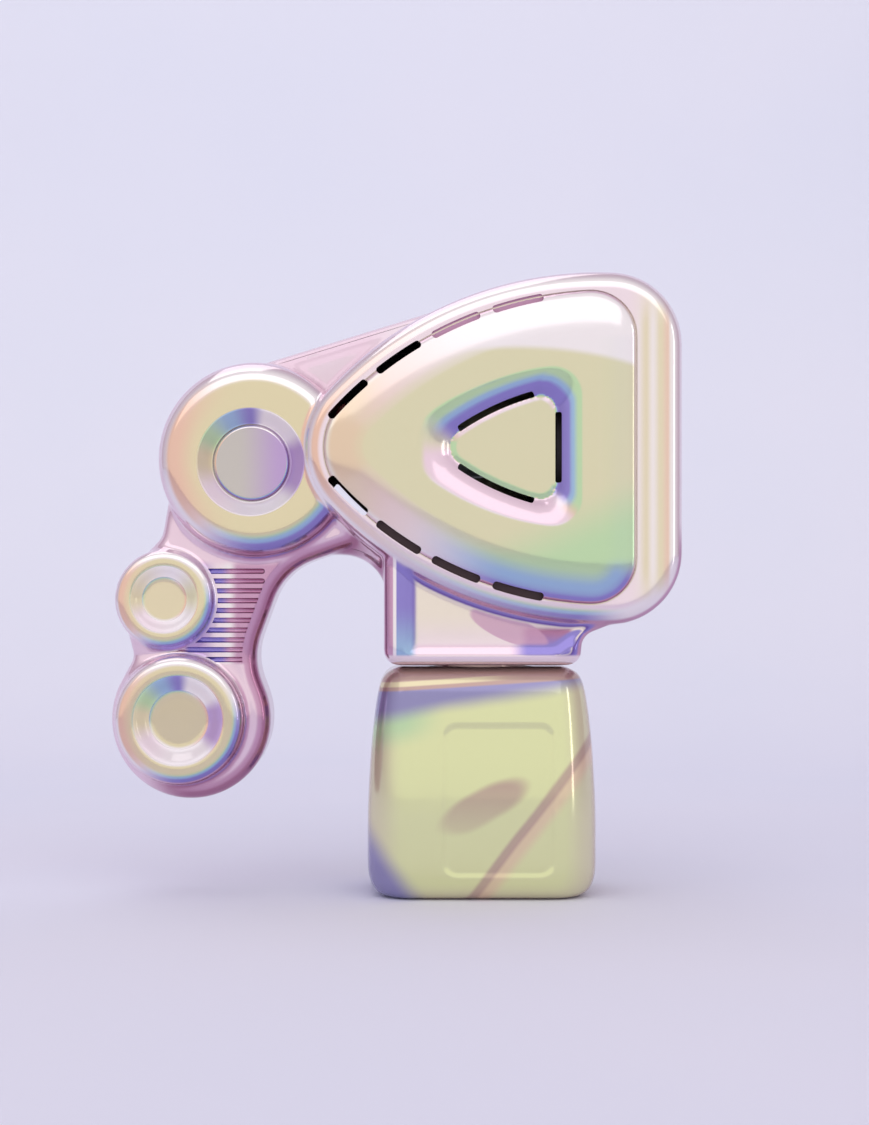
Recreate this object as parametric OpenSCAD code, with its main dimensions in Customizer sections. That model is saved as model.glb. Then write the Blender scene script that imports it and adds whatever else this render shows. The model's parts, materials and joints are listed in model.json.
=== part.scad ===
// Battery bubble blower: a pistol-shaped casing on a screw-on bottle, in millimetres.
// The origin is the centre of the bottle's base; +X is the muzzle, +Z is up, the right side is -Y.

/* [Bottle] */
// height of the bottle's shoulder
bottle_h = 56.3; // [50:0.1:70]
// half width of the bottle at its widest
bottle_half_w = 28; // [24:0.1:32]
// half depth of the bottle at its widest
bottle_half_d = 19.6; // [18:0.1:23]
// bottle wall
bottle_wall = 1.2; // [0.8:0.1:2]
// bore of the bottle's mouth
mouth_r = 10; // [9:0.1:10.6]
// wall of the bottle's mouth
mouth_wall = 1.6; // [1.2:0.1:2]
// height of the mouth above the shoulder
mouth_h = 13.6; // [12:0.1:16]
// depth of the thread
thread_depth = 1.1; // [0.8:0.1:1.3]
// rise of the thread in one turn
thread_pitch = 3.2; // [2.8:0.1:4]
// turns of thread on the mouth
thread_turns = 1.5; // [1:0.25:2]
// gap between the shoulder and the casing
bottle_gap = 0.45; // [0.35:0.05:1]

/* [Socket] */
// gap between the thread's crest and the socket
thread_gap = 0.45; // [0.35:0.05:0.6]
// wall of the socket
socket_wall = 1.5; // [1.2:0.1:2]
// thickness of the seal
seal_t = 1.5; // [1:0.1:2.5]

/* [Casing] */
// wall of the casing
wall = 1.6; // [1.4:0.05:2]
// height of the fan axis above the neck's lower edge
axis_rise = 52.55; // [50:0.05:58]
// front face of the head
front_x = 48.25; // [46:0.05:54]
// corner radius of the head
head_corner_r = 17.5; // [15:0.1:18.5]
// corner centres above and below the axis
head_corner_dz = 25.2; // [24:0.1:28]
// centre of the nose at the rear of the head
nose_x = -23; // [-26:0.1:-21]
// radius of the nose
nose_r = 20.5; // [19:0.1:22]
// radius of the bulged upper and lower edges
side_r = 90; // [80:1:140]
// step from the neck's face up to the head's rim
head_step = 1.9; // [1.2:0.1:3]
// rounding of the head's edge
head_edge_r = 4; // [3:0.1:4.6]
// half thickness of the web between head and handle
web_half = 10; // [9:0.1:11]
// half thickness of the grip
grip_half = 11; // [10.5:0.1:12]
// rounding of the web's and the grip's edge
web_edge_r = 3.5; // [2.5:0.1:4.5]
// half width of the neck
neck_half_w = 24; // [22.5:0.1:26]
// rounding of the neck's edge
neck_edge_r = 3; // [2:0.1:3.2]
// depth of the framed recess in the neck
neck_recess = 1; // [0.5:0.05:1.2]

/* [Panel] */
// rim between the panel and the head's edge
panel_rim = 5; // [4.4:0.1:6]
// band between the panel and the front face
front_band = 11.45; // [10:0.05:14]
// corner radius of the panel
panel_corner_r = 11; // [9:0.1:13]
// gap round the panel
panel_gap = 0.2; // [0.1:0.05:0.4]
// depth of the panel's seat below the rim
panel_seat = 1.1; // [0.8:0.1:1.5]
// rise of the panel's crown above the rim
panel_crown = 2.5; // [1.5:0.1:3.5]
// thickness of the panel
panel_t = 1.6; // [1.2:0.1:2]
// width of the slots round the panel
slot_w = 2; // [1.4:0.1:2.6]
// length of those slots
slot_l = 12.6; // [9:0.1:13.5]
// bridge between two slots
slot_bridge = 3.3; // [2.5:0.1:4]
// depth of the sunken intake below the crown
dish_depth = 3; // [2:0.1:3.4]
// width of the intake's slots
intake_slot_w = 1.5; // [0.8:0.1:1.6]

/* [Handle] */
// radius of the large drum
drum_r = 23.6; // [22:0.1:25]
// half thickness at the large drum
drum_half = 17; // [15.5:0.1:18]
// radius of the dish in the large drum
drum_dish_r = 12.8; // [12.2:0.1:14]
// depth of that dish
drum_dish = 3.5; // [2.5:0.1:4]
// radius of the small drum
small_r = 12.2; // [11:0.1:13]
// half thickness at the small drum
small_half = 13; // [12.8:0.1:14]
// radius of the lower drum
lower_r = 19.6; // [18.5:0.1:21]
// radius of the ring raised on the lower drum
ring_r = 15.8; // [15:0.1:16.5]
// half thickness at that ring
ring_half = 15; // [14.5:0.1:16]
// radius of the dish in the ring
ring_dish_r = 10.5; // [9.5:0.1:11.5]
// pitch of the grip's ribs
rib_pitch = 2.4; // [2.2:0.1:3]
// depth of the grooves between the ribs
rib_depth = 1; // [0.6:0.1:1.1]

/* [Air and bubbles] */
// length of the fan duct
duct_len = 24; // [22:0.1:28]
// wall of the fan duct
duct_wall = 1.6; // [1.2:0.1:2]
// gap between fan and duct
fan_gap = 0.8; // [0.5:0.1:1.5]
// blades of the fan
fan_blades = 6; // [4:1:8]
// slope of the blades
blade_tilt = 38; // [25:1:50]
// thickness of the bubble plate
plate_t = 2.4; // [2.2:0.1:3]
// radius of each bubble hole
bubble_r = 3; // [2:0.1:3.2]
// gap round the muzzle in the front opening
muzzle_gap = 0.2; // [0.1:0.05:0.3]

/* [Drive] */
// diameter of the motor
motor_d = 15.5; // [14:0.1:16]
// length of the motor
motor_len = 20; // [18:0.1:20.4]
// size of the gear teeth
module_mm = 0.5; // [0.48:0.01:0.52]
// teeth of the small gears
small_teeth = 10; // [9:1:10]
// teeth of the large gears
large_teeth = 36; // [34:1:36]
// extra distance between gear axes
mesh_gap = 0.15; // [0.1:0.05:0.25]
// radius of the shaft and the axles
axle_r = 1; // [0.9:0.05:1.1]
// running gap on an axle
run_gap = 0.06; // [0.04:0.01:0.1]

/* [Pump] */
// bend radius of the tube in the pump
loop_r = 7; // [6.6:0.1:7.2]
// radius of the tube
tube_r = 1.4; // [1.2:0.05:1.5]
// bore of the tube
tube_bore = 0.8; // [0.6:0.05:0.9]
// gap between the tube and the pump's track
track_gap = 0.2; // [0.1:0.05:0.3]
// gap between the rotor's lobes and the tube
lobe_gap = 0.35; // [0.3:0.05:0.5]

/* [Switch] */
// radius of the push button
button_r = 9.2; // [8.6:0.1:9.6]
// travel of the push button
button_travel = 2; // [1.2:0.1:2.4]
// gap round the push button
button_gap = 0.3; // [0.25:0.05:0.5]
// mean radius of the return spring
spring_r = 5.6; // [5.5:0.05:5.9]
// radius of the spring's wire
spring_wire_r = 0.3; // [0.2:0.05:0.35]
// turns of the return spring
spring_turns = 7; // [5:1:9]

/* [Cells] */
// diameter of a cell
cell_d = 10.5; // [10:0.1:10.6]
// length of a cell
cell_len = 44.5; // [42:0.1:45]
// lean of the cells along the grip
cell_lean = 14.5; // [13:0.1:16]
// gap round the door
door_gap = 0.3; // [0.25:0.05:0.5]

/* [Fasteners] */
// radius of a screw's shank
screw_r = 1.25; // [1.1:0.05:1.3]
// radius of a screw's head
screw_head_r = 2.4; // [2.1:0.1:2.5]
// radius of a screw boss
boss_r = 3.1; // [2.9:0.05:3.3]

/* [Hidden] */
$fn = 96;
// steps along the rounded outlines
arc_step = 15;
chord = 6;
edge_steps = 3;
eps = 1;
// gap for pieces that are fixed beside each other
snug = 0.1;

neck_z = bottle_h + bottle_gap;
axis_z = neck_z + axis_rise;
mouth_or = mouth_r + mouth_wall;
crest_r = mouth_or + thread_depth;
socket_ir = crest_r + thread_gap;
socket_or = socket_ir + socket_wall;
mouth_top = bottle_h + mouth_h;
socket_roof = mouth_top + seal_t;
socket_top = socket_roof + socket_wall;
neck_half = socket_or + neck_recess + wall + 0.4;
head_half = neck_half + head_step;
head_ceiling = head_half - panel_seat - 1.5;

head_cx = front_x - head_corner_r;
head_tri = rounded_tri(nose_x, nose_r, head_cx, head_corner_dz, head_corner_r, side_r);
panel_nose_r = nose_r - panel_rim;
panel_front = front_x - front_band;
panel_cx = panel_front - panel_corner_r;
panel_dz = head_corner_dz + head_corner_r - panel_rim - panel_corner_r;
panel_tri = rounded_tri(nose_x, panel_nose_r, panel_cx, panel_dz, panel_corner_r, side_r);
dish_tri = rounded_tri(nose_x + 17.5, 11, panel_front - 20, 12.6, 6.5, 60);
floor_tri = rounded_tri(nose_x + 19.4, 4.4, panel_front - 23.1, 8.8, 3.7, 60);
intake_slot_in = 0.15;
crown_h = head_half + panel_crown;

drum_c = [-55.4, neck_z + 50.2];
drum_dish_c = [-56.2, neck_z + 49.2];
small_c = [-77.6, neck_z + 16];
lower_c = [-71.4, neck_z - 13.4];
ring_c = [-74, neck_z - 13.4];
slab_in = 1;
drum_edge_r = 5;
// the ribbed stretch: its height above the neck's foot, its span, a groove's share and the gap to the drums
rib_low = 0.6;
rib_span = 24.5;
rib_share = 0.52;
rib_clear = 0.8;
arch_l = [-36, neck_z + 10.5, -16];
arch_r = [-34.25, neck_z + 16, -11];
spine = [
    [-15.25, neck_z + 11.25, 8],
    [5.7, axis_z + 13.9, 25],
    [drum_c.x, drum_c.y, drum_r - slab_in],
    arch_r
];
spine_mid = [-18, axis_z - 6];
function grip_line(r) = [
    [-20, axis_z - 11, 8],
    [drum_c.x, drum_c.y, drum_r - 4],
    [-82.25, neck_z + 33.25, -4],
    [small_c.x, small_c.y, r],
    [-88.6, neck_z + 2.25, -3],
    [lower_c.x, lower_c.y, lower_r],
    [-39.4, neck_z + 1.85, -15.75],
    arch_l
];
right_grip = grip_line(small_r - slab_in);
left_grip = grip_line(small_r);
// point of the grip's outline where the rungs of its end faces start
first_rung = 9;
neck_corner_r = 3.5;
neck = [
    [-neck_half_w + neck_corner_r, neck_z + neck_corner_r, neck_corner_r],
    [neck_half_w - neck_corner_r, neck_z + neck_corner_r, neck_corner_r],
    [neck_half_w + 4, neck_z + 4.4, -4],
    [head_cx, axis_z - head_corner_dz, head_corner_r - slab_in],
    [-neck_half_w + 11.5, axis_z - 16, 11.5]
];
neck_mid = [0, neck_z + 20];
recess = [
    [-neck_half_w + 7.2, neck_z + 4.2, 2],
    [neck_half_w - 7.2, neck_z + 4.2, 2],
    [neck_half_w + 6, axis_z - head_corner_dz, 13],
    [-neck_half_w + 8.2, axis_z - 16, 3]
];

// inner sizes of the duct and what stacks along the fan axis
duct_or = head_ceiling - 1.6;
duct_ir = duct_or - duct_wall;
fan_r = duct_ir - fan_gap;
muzzle_or = duct_or - duct_wall - muzzle_gap;
muzzle_ir = muzzle_or - duct_wall;
opening_r = muzzle_or + muzzle_gap;
front_in = front_x - wall;
plate_x = front_x - 12;
duct_x = plate_x - duct_len;
duct_rib_x = duct_x + 4;
motor_x = duct_x - motor_len;
spider_t = 1.5;
shaft_front = duct_x + 13.5;
pinion_l = 4.5;
pinion_x = motor_x - 1.6 - pinion_l;
wheel_w = 3;
idler_x = pinion_x + 0.7;
pump_wheel_x = idler_x + wheel_w + 0.8;
pillar_y = 10.8;
thread_z = bottle_h + 4.6;
gear_gap = module_mm * (small_teeth + large_teeth) / 2 + mesh_gap;
idler_z = axis_z - gear_gap;
pump_z = idler_z - gear_gap;
back_plate_x = pinion_x - 2.9;
back_plate_t = 1.5;
pump_back_x = pump_wheel_x + wheel_w + 0.5;
pump_plate_t = 1.5;
track_x = pump_back_x + pump_plate_t;
track_len = 7;
cover_x = track_x + track_len;
loop_x = track_x + track_len / 2;
track_r = loop_r + tube_r + track_gap;
lobe_reach = loop_r - tube_r - lobe_gap;
lobe_r = 1.6;
rib_t = 1.6;
ear_z = socket_roof - 3.4;
ear_t = 1.5;
run_z = socket_top + 4;
bend_r = 4;
riser_x = plate_x + plate_t / 2;
riser_top = axis_z - sqrt(duct_or * duct_or - loop_r * loop_r) - 3;

// heights above the parting plane, to the right of it, for the button and the switch
dish_floor = drum_half - drum_dish;
button_back = dish_floor - wall - snug - 1.2;
stem_r = 2.5;
stem_end = 3;
board_h = -4;
board_t = 1.6;
board_half = [9.5, 7];
switch_half = 3.5;
switch_top = stem_end - button_travel;
plunger_r = 1.6;

// the cell bay, in its leaning frame
bay = [-70.3, 0, neck_z + 2.2];
bay_wall = 1.2;
bay_half_w = cell_d + 0.25 + bay_wall;
bay_half_l = cell_len / 2 + 3;
tray_end = bay_half_l + bay_wall;
tray_floor = -cell_d / 2 - bay_wall;
door_half_w = bay_half_w - 0.75;
door_top = bay_half_l - 1;
door_corner_r = 4;
door_screw_l = -bay_half_l - 3.6;
door_pos = [bay.x, bay.z];
post_h = 7.4;
door_seat = grip_half - 2;

// screws: plan position and the height of the casing there
screw_seat = 6;
pilot_gap = 0.05;
wire_r = 0.6;
screw_len = 11;
bosses = [
    [front_x - 5.9, axis_z + 22, head_ceiling + 0.4],
    [front_x - 5.9, axis_z - 22, head_ceiling + 0.4],
    [-40.5, axis_z + 20.5, web_half - wall / 2],
    [-69.5, axis_z - 11, drum_half - wall / 2],
    [neck_half_w - 5.3, neck_z + 5.5, neck_half - neck_recess - wall / 2],
    [5.3 - neck_half_w, neck_z + 5.5, neck_half - neck_recess - wall / 2],
    [-57.6, neck_z - 16.5, grip_half - wall / 2]
];

// outlines: circles [x, y, r] joined by tangents, r below zero on a hollow bend
function clamp1(v) = max(-1, min(1, v));
function positive(a) = ((a % 360) + 360) % 360;
function heading(a, b) =
    let (d = [b.x - a.x, b.y - a.y])
    atan2(d.y, d.x) - asin(clamp1((b.z - a.z) / norm(d)));
function turn(s, a, b) =
    let (t = s > 0 ? positive(b - a) : -positive(a - b))
    abs(t) > 359 ? 0 : t;
function touching(a, b) =
    let (l = norm([b.x - a.x, b.y - a.y]))
    l * l - pow(b.z - a.z, 2) < 0.01;
function arc_count(c, sweep) =
    max(1, ceil(abs(sweep) / arc_step), ceil(abs(sweep * c.z) * PI / 180 / chord));
function bend_points(c, start, sweep, inset, n, last) =
    [
        for (k = [0:last])
            let (a = start + sweep * k / n)
            [c.x + (c.z - inset) * sin(a), c.y - (c.z - inset) * cos(a)]
    ];
function belt(cs, inset = 0, steps = 0) =
    let (n = len(cs))
    [
        for (i = [0:n - 1])
            let (
                a = heading(cs[(i + n - 1) % n], cs[i]),
                b = heading(cs[i], cs[(i + 1) % n]),
                t = turn(cs[i].z, a, b),
                m = steps > 0 ? steps : arc_count(cs[i], t)
            )
            each bend_points(cs[i], a, t, inset, m, touching(cs[i], cs[(i + 1) % n]) ? m - 1 : m)
    ];

// circle of radius r that touches two smaller ones from outside, on the left of a to b
function bulge(a, b, r) =
    let (
        d = [b.x - a.x, b.y - a.y],
        l = norm(d),
        e = d / l,
        p = r - a.z,
        q = r - b.z,
        t = (p * p - q * q + l * l) / (2 * l),
        h = sqrt(p * p - t * t)
    )
    [a.x + e.x * t - e.y * h, a.y + e.y * t + e.x * h, r];
function rounded_tri(nx, nr, cx, dz, cr, sr) =
    let (
        nose = [nx, axis_z, nr],
        top = [cx, axis_z + dz, cr],
        low = [cx, axis_z - dz, cr]
    )
    [low, top, bulge(top, nose, sr), nose, bulge(nose, low, sr)];

// rounded edge as [inset, height] pairs
function round_edge(h, r) =
    [for (k = [0:edge_steps]) let (a = 90 * k / edge_steps) [r * (1 - cos(a)), h - r + r * sin(a)]];

// triangles of an end face: a fan round point n, or rungs between the sides of a long outline
function fan_face(n) = [for (i = [0:n - 1]) [n, i, (i + 1) % n]];
function rung_face(n, first) =
    [
        for (k = [0:n - 3])
            let (
                a = first + ceil(k / 2),
                b = first - 1 + n - floor(k / 2)
            )
            [a % n, (k % 2 == 0 ? a + 1 : b - 1) % n, b % n]
    ];

// solid through rings of points, each ring [points, height]; mid is seen from the whole outline
module loft(rings, mid = undef) {
    n = len(rings[0][0]);
    m = len(rings);
    ends = is_undef(mid) ? rung_face(n, first_rung) : fan_face(n);
    points = [
        for (r = rings) each [for (p = r[0]) [p.x, p.y, r[1]]],
        if (!is_undef(mid)) each [for (r = [rings[0], rings[m - 1]]) [mid.x, mid.y, r[1]]]
    ];
    faces = [
        for (j = [0:m - 2], i = [0:n - 1])
            let (k = (i + 1) % n)
            [j * n + i, (j + 1) * n + i, (j + 1) * n + k, j * n + k],
        for (t = ends) [for (i = [0:2]) t[i] == n ? m * n : t[i]],
        for (t = ends) [for (i = [2:-1:0]) t[i] == n ? m * n + 1 : (m - 1) * n + t[i]]
    ];
    polyhedron(points, faces);
}

module pillow(cs, mid, h, r, base = -eps) {
    steps = concat([[0, base]], round_edge(h, r));
    loft([for (s = steps) [belt(cs, s[0]), s[1]]], mid);
}

module block(cs, h0, h1, inset = 0) {
    translate([0, 0, h0])
    linear_extrude(h1 - h0)
    polygon(belt(cs, inset));
}

module drum(c, r, h, e, dish_r, floor_r, floor_h, thin = 0) {
    slope = thin * 0.8;
    translate([c.x, c.y, 0])
    rotate_extrude()
    polygon([
        [0, -eps - thin],
        [r - thin, -eps - thin],
        for (p = round_edge(h - thin, e)) [r - thin - p[0], p[1]],
        [dish_r + slope, h - thin],
        [floor_r + slope, floor_h - thin],
        [0, floor_h - thin]
    ]);
}

module rod(x, y, z0, z1, r) {
    translate([x, y, z0])
    cylinder(h = z1 - z0, r = r);
}

module along_x(x0, l, z = axis_z, y = 0) {
    translate([x0, y, z])
    rotate([0, 90, 0])
    linear_extrude(l)
    children();
}

module ring2d(ro, ri) {
    difference() {
        circle(ro);
        circle(ri);
    }
}

module gear2d(teeth, phase = 0) {
    r = module_mm * teeth / 2;
    tip = r + module_mm * 0.8;
    root = r - module_mm * 1.15;
    p = 360 / teeth;
    polygon([
        for (i = [0:teeth - 1], s = [[root, -0.29], [tip, -0.1], [tip, 0.1], [root, 0.29]])
            s[0] * [cos(phase + p * (i + s[1])), sin(phase + p * (i + s[1]))]
    ]);
}

module sweep(path, r, sides = 6, ref = [0, 1, 0]) {
    n = len(path);
    points = [
        for (i = [0:n - 1])
            let (
                d = path[min(i + 1, n - 1)] - path[max(i - 1, 0)],
                t = d / norm(d),
                u0 = cross(t, ref),
                u = u0 / norm(u0),
                v = cross(t, u)
            )
            each [
                for (k = [0:sides - 1])
                    let (a = 360 * k / sides)
                    path[i] + r * (cos(a) * u + sin(a) * v)
            ]
    ];
    faces = [
        for (i = [0:n - 2], k = [0:sides - 1])
            let (
                l = (k + 1) % sides,
                a = i * sides,
                b = a + sides
            )
            each [[a + k, b + k, b + l], [a + k, b + l, a + l]],
        [for (k = [0:sides - 1]) k],
        [for (k = [sides - 1:-1:0]) (n - 1) * sides + k]
    ];
    polyhedron(points, faces);
}

// casing halves, drawn in plan with the height towards the viewer
module side_outer(grip, relief) {
    pillow(spine, spine_mid, web_half, web_edge_r, -1.3 * eps);
    pillow(grip, undef, grip_half, web_edge_r, -1.6 * eps);
    difference() {
        pillow(neck, neck_mid, neck_half, neck_edge_r);
        block(recess, neck_half - neck_recess, neck_half + eps);
    }
    pillow(head_tri, [0, axis_z], head_half, head_edge_r);
    drum(drum_c, drum_r, drum_half, drum_edge_r, drum_r / 2, drum_r / 3, drum_half);
    if (relief) {
        drum(small_c, small_r, small_half, 2, 7.6, 6, small_half - 1.4);
        drum(ring_c, ring_r, ring_half, 2.5, ring_dish_r, 7.6, ring_half - 2.6);
    }
}

module side_inner(grip, relief) {
    block(spine, -2 * eps, web_half - wall, wall);
    block(grip, -2 * eps, grip_half - wall, wall);
    block(neck, -2 * eps, neck_half - neck_recess - wall, wall);
    block(head_tri, -2 * eps, head_ceiling, wall);
    drum(drum_c, drum_r, drum_half, drum_edge_r, drum_dish_r + 1.4, button_r + 2, dish_floor, wall);
    if (relief) {
        drum(small_c, small_r, small_half, 2, 7.6, 6, small_half - 1.4, wall);
        drum(ring_c, ring_r, ring_half, 2.5, ring_dish_r, 7.6, ring_half - 2.6, wall);
    }
}

module dish_cut() {
    translate([drum_dish_c.x, drum_dish_c.y, dish_floor])
    rotate_extrude()
    polygon([
        [0, 0],
        [button_r + 0.6, 0],
        [drum_dish_r, drum_dish],
        [drum_dish_r, drum_dish + eps],
        [0, drum_dish + eps]
    ]);
}

module panel_slots(h0, h1) {
    c = panel_tri[4];
    degree = 180 / PI / side_r;
    sweep_a = slot_l * degree;
    first_a = atan2(axis_z - c.y, nose_x - c.x) + 1 - sweep_a / 2;
    for (s = [0, 1], i = [0:3]) {
        translate([0, axis_z, h0])
        mirror([0, s, 0])
        translate([c.x, c.y - axis_z, 0])
        rotate([0, 0, first_a + i * (slot_l + slot_bridge) * degree])
        linear_extrude(h1 - h0)
        polygon([
            for (k = [0:4]) (side_r + slot_w / 2 - 0.4) * [cos(sweep_a * k / 4), sin(sweep_a * k / 4)],
            for (k = [4:-1:0]) (side_r - slot_w / 2 - 0.4) * [cos(sweep_a * k / 4), sin(sweep_a * k / 4)]
        ]);
    }
}

module side_cuts() {
    dish_cut();
    block(panel_tri, head_half - panel_seat, head_half + eps, -panel_gap);
    block(panel_tri, -2 * eps, head_half, 3);
    panel_slots(head_ceiling - eps, head_half + eps);
    translate([front_x - 2 * wall, axis_z, 0])
    rotate([0, 90, 0])
    cylinder(h = 4 * wall, r = opening_r);
    translate([0, neck_z - eps, 0])
    rotate([-90, 0, 0])
    cylinder(h = wall + 2 * eps, r = socket_ir);
    translate([-100, 0, -50])
    cube([200, 200, 50]);
}

// grooves between the drums and the arch that leave the grip's ribs
module grip_grooves() {
    translate([0, 0, grip_half - rib_depth])
    linear_extrude(rib_depth + eps)
    difference() {
        intersection() {
            polygon(belt(right_grip, web_edge_r));
            for (i = [0:floor(rib_span / rib_pitch) - 1]) {
                translate([small_c.x, neck_z + rib_low + i * rib_pitch])
                square([rib_span, rib_pitch * rib_share]);
            }
        }
        translate(small_c)
        circle(small_r + rib_clear);
        translate(ring_c)
        circle(ring_r + rib_clear);
    }
}

// ribs that carry the socket and the duct
module seats() {
    translate([0, ear_z, 0])
    rotate([-90, 0, 0])
    difference() {
        translate([-neck_half_w + wall / 2, -neck_half + neck_recess + wall / 2, 0])
        cube([2 * neck_half_w - wall, neck_half - neck_recess - wall / 2, rib_t]);
        translate([0, 0, -eps])
        cylinder(h = rib_t + 2 * eps, r = socket_or + snug);
    }
    difference() {
        intersection() {
            translate([duct_rib_x, neck_z, 0])
            cube([rib_t, 120, duct_or - 1]);
            block(head_tri, 0, duct_or - 1, wall / 2);
        }
        translate([duct_rib_x - eps, axis_z, 0])
        rotate([0, 90, 0])
        cylinder(h = rib_t + 2 * eps, r = duct_or + snug);
        translate([duct_rib_x - eps, run_z - 2.2, loop_r - 2.2])
        cube([rib_t + 2 * eps, 4.4, 4.4]);
    }
}

module boss_at(b) {
    difference() {
        rod(b.x, b.y, 0, b.z, boss_r);
        rod(b.x, b.y, -eps, screw_len - screw_seat + 2, screw_r + pilot_gap);
    }
}

module shell_base(grip, relief) {
    difference() {
        side_outer(grip, relief);
        side_inner(grip, relief);
        side_cuts();
    }
    seats();
}

module right_shell() {
    color("LightYellow")
    rotate([90, 0, 0]) {
        difference() {
            shell_base(right_grip, true);
            grip_grooves();
            translate([drum_dish_c.x, drum_dish_c.y, 0])
            cylinder(h = drum_half, r = button_r + button_gap);
        }
        for (b = bosses) {
            boss_at(b);
        }
        tray_pads();
    }
}

module tray_pads() {
    translate([bay.x, bay.z, -tray_floor])
    rotate([0, 0, -cell_lean]) {
        for (s = [-1, 1]) {
            translate([-bay_half_w + 2, s * 16 - 1, 0])
            cube([2 * bay_half_w - 4, 2, grip_half - 0.1 + tray_floor]);
        }
    }
}

module door_cut(grow, h0, h1) {
    x = door_half_w - door_corner_r;
    translate([door_pos.x, door_pos.y, h0])
    rotate([0, 0, -cell_lean])
    linear_extrude(h1 - h0)
    polygon(belt([
        [0, door_screw_l, door_corner_r + grow],
        [x, door_corner_r - bay_half_l, door_corner_r + grow],
        [x, door_top - door_corner_r, door_corner_r + grow],
        [-x, door_top - door_corner_r, door_corner_r + grow],
        [-x, door_corner_r - bay_half_l, door_corner_r + grow]
    ]));
}

module left_shell() {
    color("LightYellow")
    mirror([0, 1, 0])
    rotate([90, 0, 0]) {
        difference() {
            union() {
                difference() {
                    shell_base(left_grip, false);
                    door_cut(0, 5, 30);
                }
                for (b = bosses) {
                    translate([b.x, b.y, 0])
                    cylinder(h = b.z, r = boss_r);
                }
            }
            for (b = bosses) {
                rod(b.x, b.y, -eps, head_half + eps, screw_r + 0.25);
                rod(b.x, b.y, screw_seat, head_half + eps, screw_head_r + 0.2);
            }
        }
        for (s = [-1, 1]) {
            translate([drum_dish_c.x - 1.5 + s * 7, drum_dish_c.y - 6, -board_h + board_t])
            cube([3, 12, dish_floor - wall / 2 + board_h - board_t]);
        }
        door_boss();
    }
}

module door_boss() {
    difference() {
        intersection() {
            block(left_grip, 1, post_h, wall / 2);
            translate([door_pos.x, door_pos.y, 0])
            rotate([0, 0, -cell_lean])
            translate([-4, door_screw_l - 12, 0])
            cube([8, 14.2, post_h]);
        }
        translate([door_pos.x, door_pos.y, 0])
        rotate([0, 0, -cell_lean])
        rod(0, door_screw_l, 0, post_h + eps, screw_r + pilot_gap);
    }
}

module cell_door() {
    color("LightYellow")
    mirror([0, 1, 0])
    rotate([90, 0, 0])
    difference() {
        union() {
            intersection() {
                pillow(left_grip, undef, grip_half, web_edge_r);
                door_cut(-door_gap, grip_half - wall, 30);
            }
            translate([door_pos.x, door_pos.y, 0])
            rotate([0, 0, -cell_lean])
            rod(0, door_screw_l, post_h, grip_half - wall / 2, boss_r);
        }
        translate([door_pos.x, door_pos.y, 0])
        rotate([0, 0, -cell_lean]) {
            rod(0, door_screw_l, 0, 30, screw_r + 0.25);
            rod(0, door_screw_l, door_seat, 30, screw_head_r + 0.2);
        }
    }
}

module panel() {
    seat = head_half - panel_seat;
    difference() {
        union() {
            difference() {
                loft([
                    for (p = [
                        [0, seat], [0, head_half + 0.2], [0.5, head_half + 0.7], [1.6, head_half + 1.2],
                        [4, crown_h - 0.6], [7, crown_h - 0.15], [9, crown_h]
                    ])
                        [belt(panel_tri, p[0]), p[1]]
                ], [0, axis_z]);
                loft([
                    for (p = [
                        [3.2, seat - eps], [3.2, head_half - 0.4], [5, head_half + 0.2],
                        [9, crown_h - panel_t]
                    ])
                        [belt(panel_tri, p[0]), p[1]]
                ], [0, axis_z]);
            }
            loft([
                [belt(floor_tri, -1.6, 6), crown_h - dish_depth - panel_t],
                [belt(dish_tri, -0.6, 6), crown_h - panel_t / 2]
            ], [0, axis_z]);
        }
        loft([
            [belt(floor_tri, 0, 6), crown_h - dish_depth],
            [belt(dish_tri, 1, 6), crown_h - 0.5],
            [belt(dish_tri, 0, 6), crown_h],
            [belt(dish_tri, -0.4, 6), crown_h + eps]
        ], [0, axis_z]);
        panel_slots(seat - eps, crown_h + eps);
        translate([0, 0, head_half - 4])
        linear_extrude(panel_crown + 4)
        intake_slots();
    }
}

// three slots that hug the floor of the intake
module intake_slots() {
    intersection() {
        difference() {
            polygon(belt(floor_tri, intake_slot_in - intake_slot_w, 6));
            polygon(belt(floor_tri, intake_slot_in, 6));
        }
        translate([0, axis_z]) {
            for (m = [0, 1]) {
                mirror([0, m])
                translate([nose_x + 25.7, 9.3])
                rotate(25.8)
                square([20, 8], center = true);
            }
            translate([panel_front - 18.9, 0])
            square([6, 17], center = true);
        }
    }
}

module right_panel() {
    color("Khaki")
    rotate([90, 0, 0])
    panel();
}

module left_panel() {
    color("Khaki")
    mirror([0, 1, 0])
    rotate([90, 0, 0])
    panel();
}

// what stands on the fan axis
module muzzle() {
    back = plate_x + plate_t;
    color("Plum")
    translate([0, 0, axis_z])
    rotate([0, 90, 0])
    rotate_extrude()
    polygon([
        [muzzle_ir, back],
        [duct_or, back],
        [duct_or, front_in],
        [muzzle_or, front_in],
        [muzzle_or, front_x - 0.3],
        [muzzle_ir + 1, front_x - 0.3],
        [muzzle_ir, front_in - 2]
    ]);
}

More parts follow.
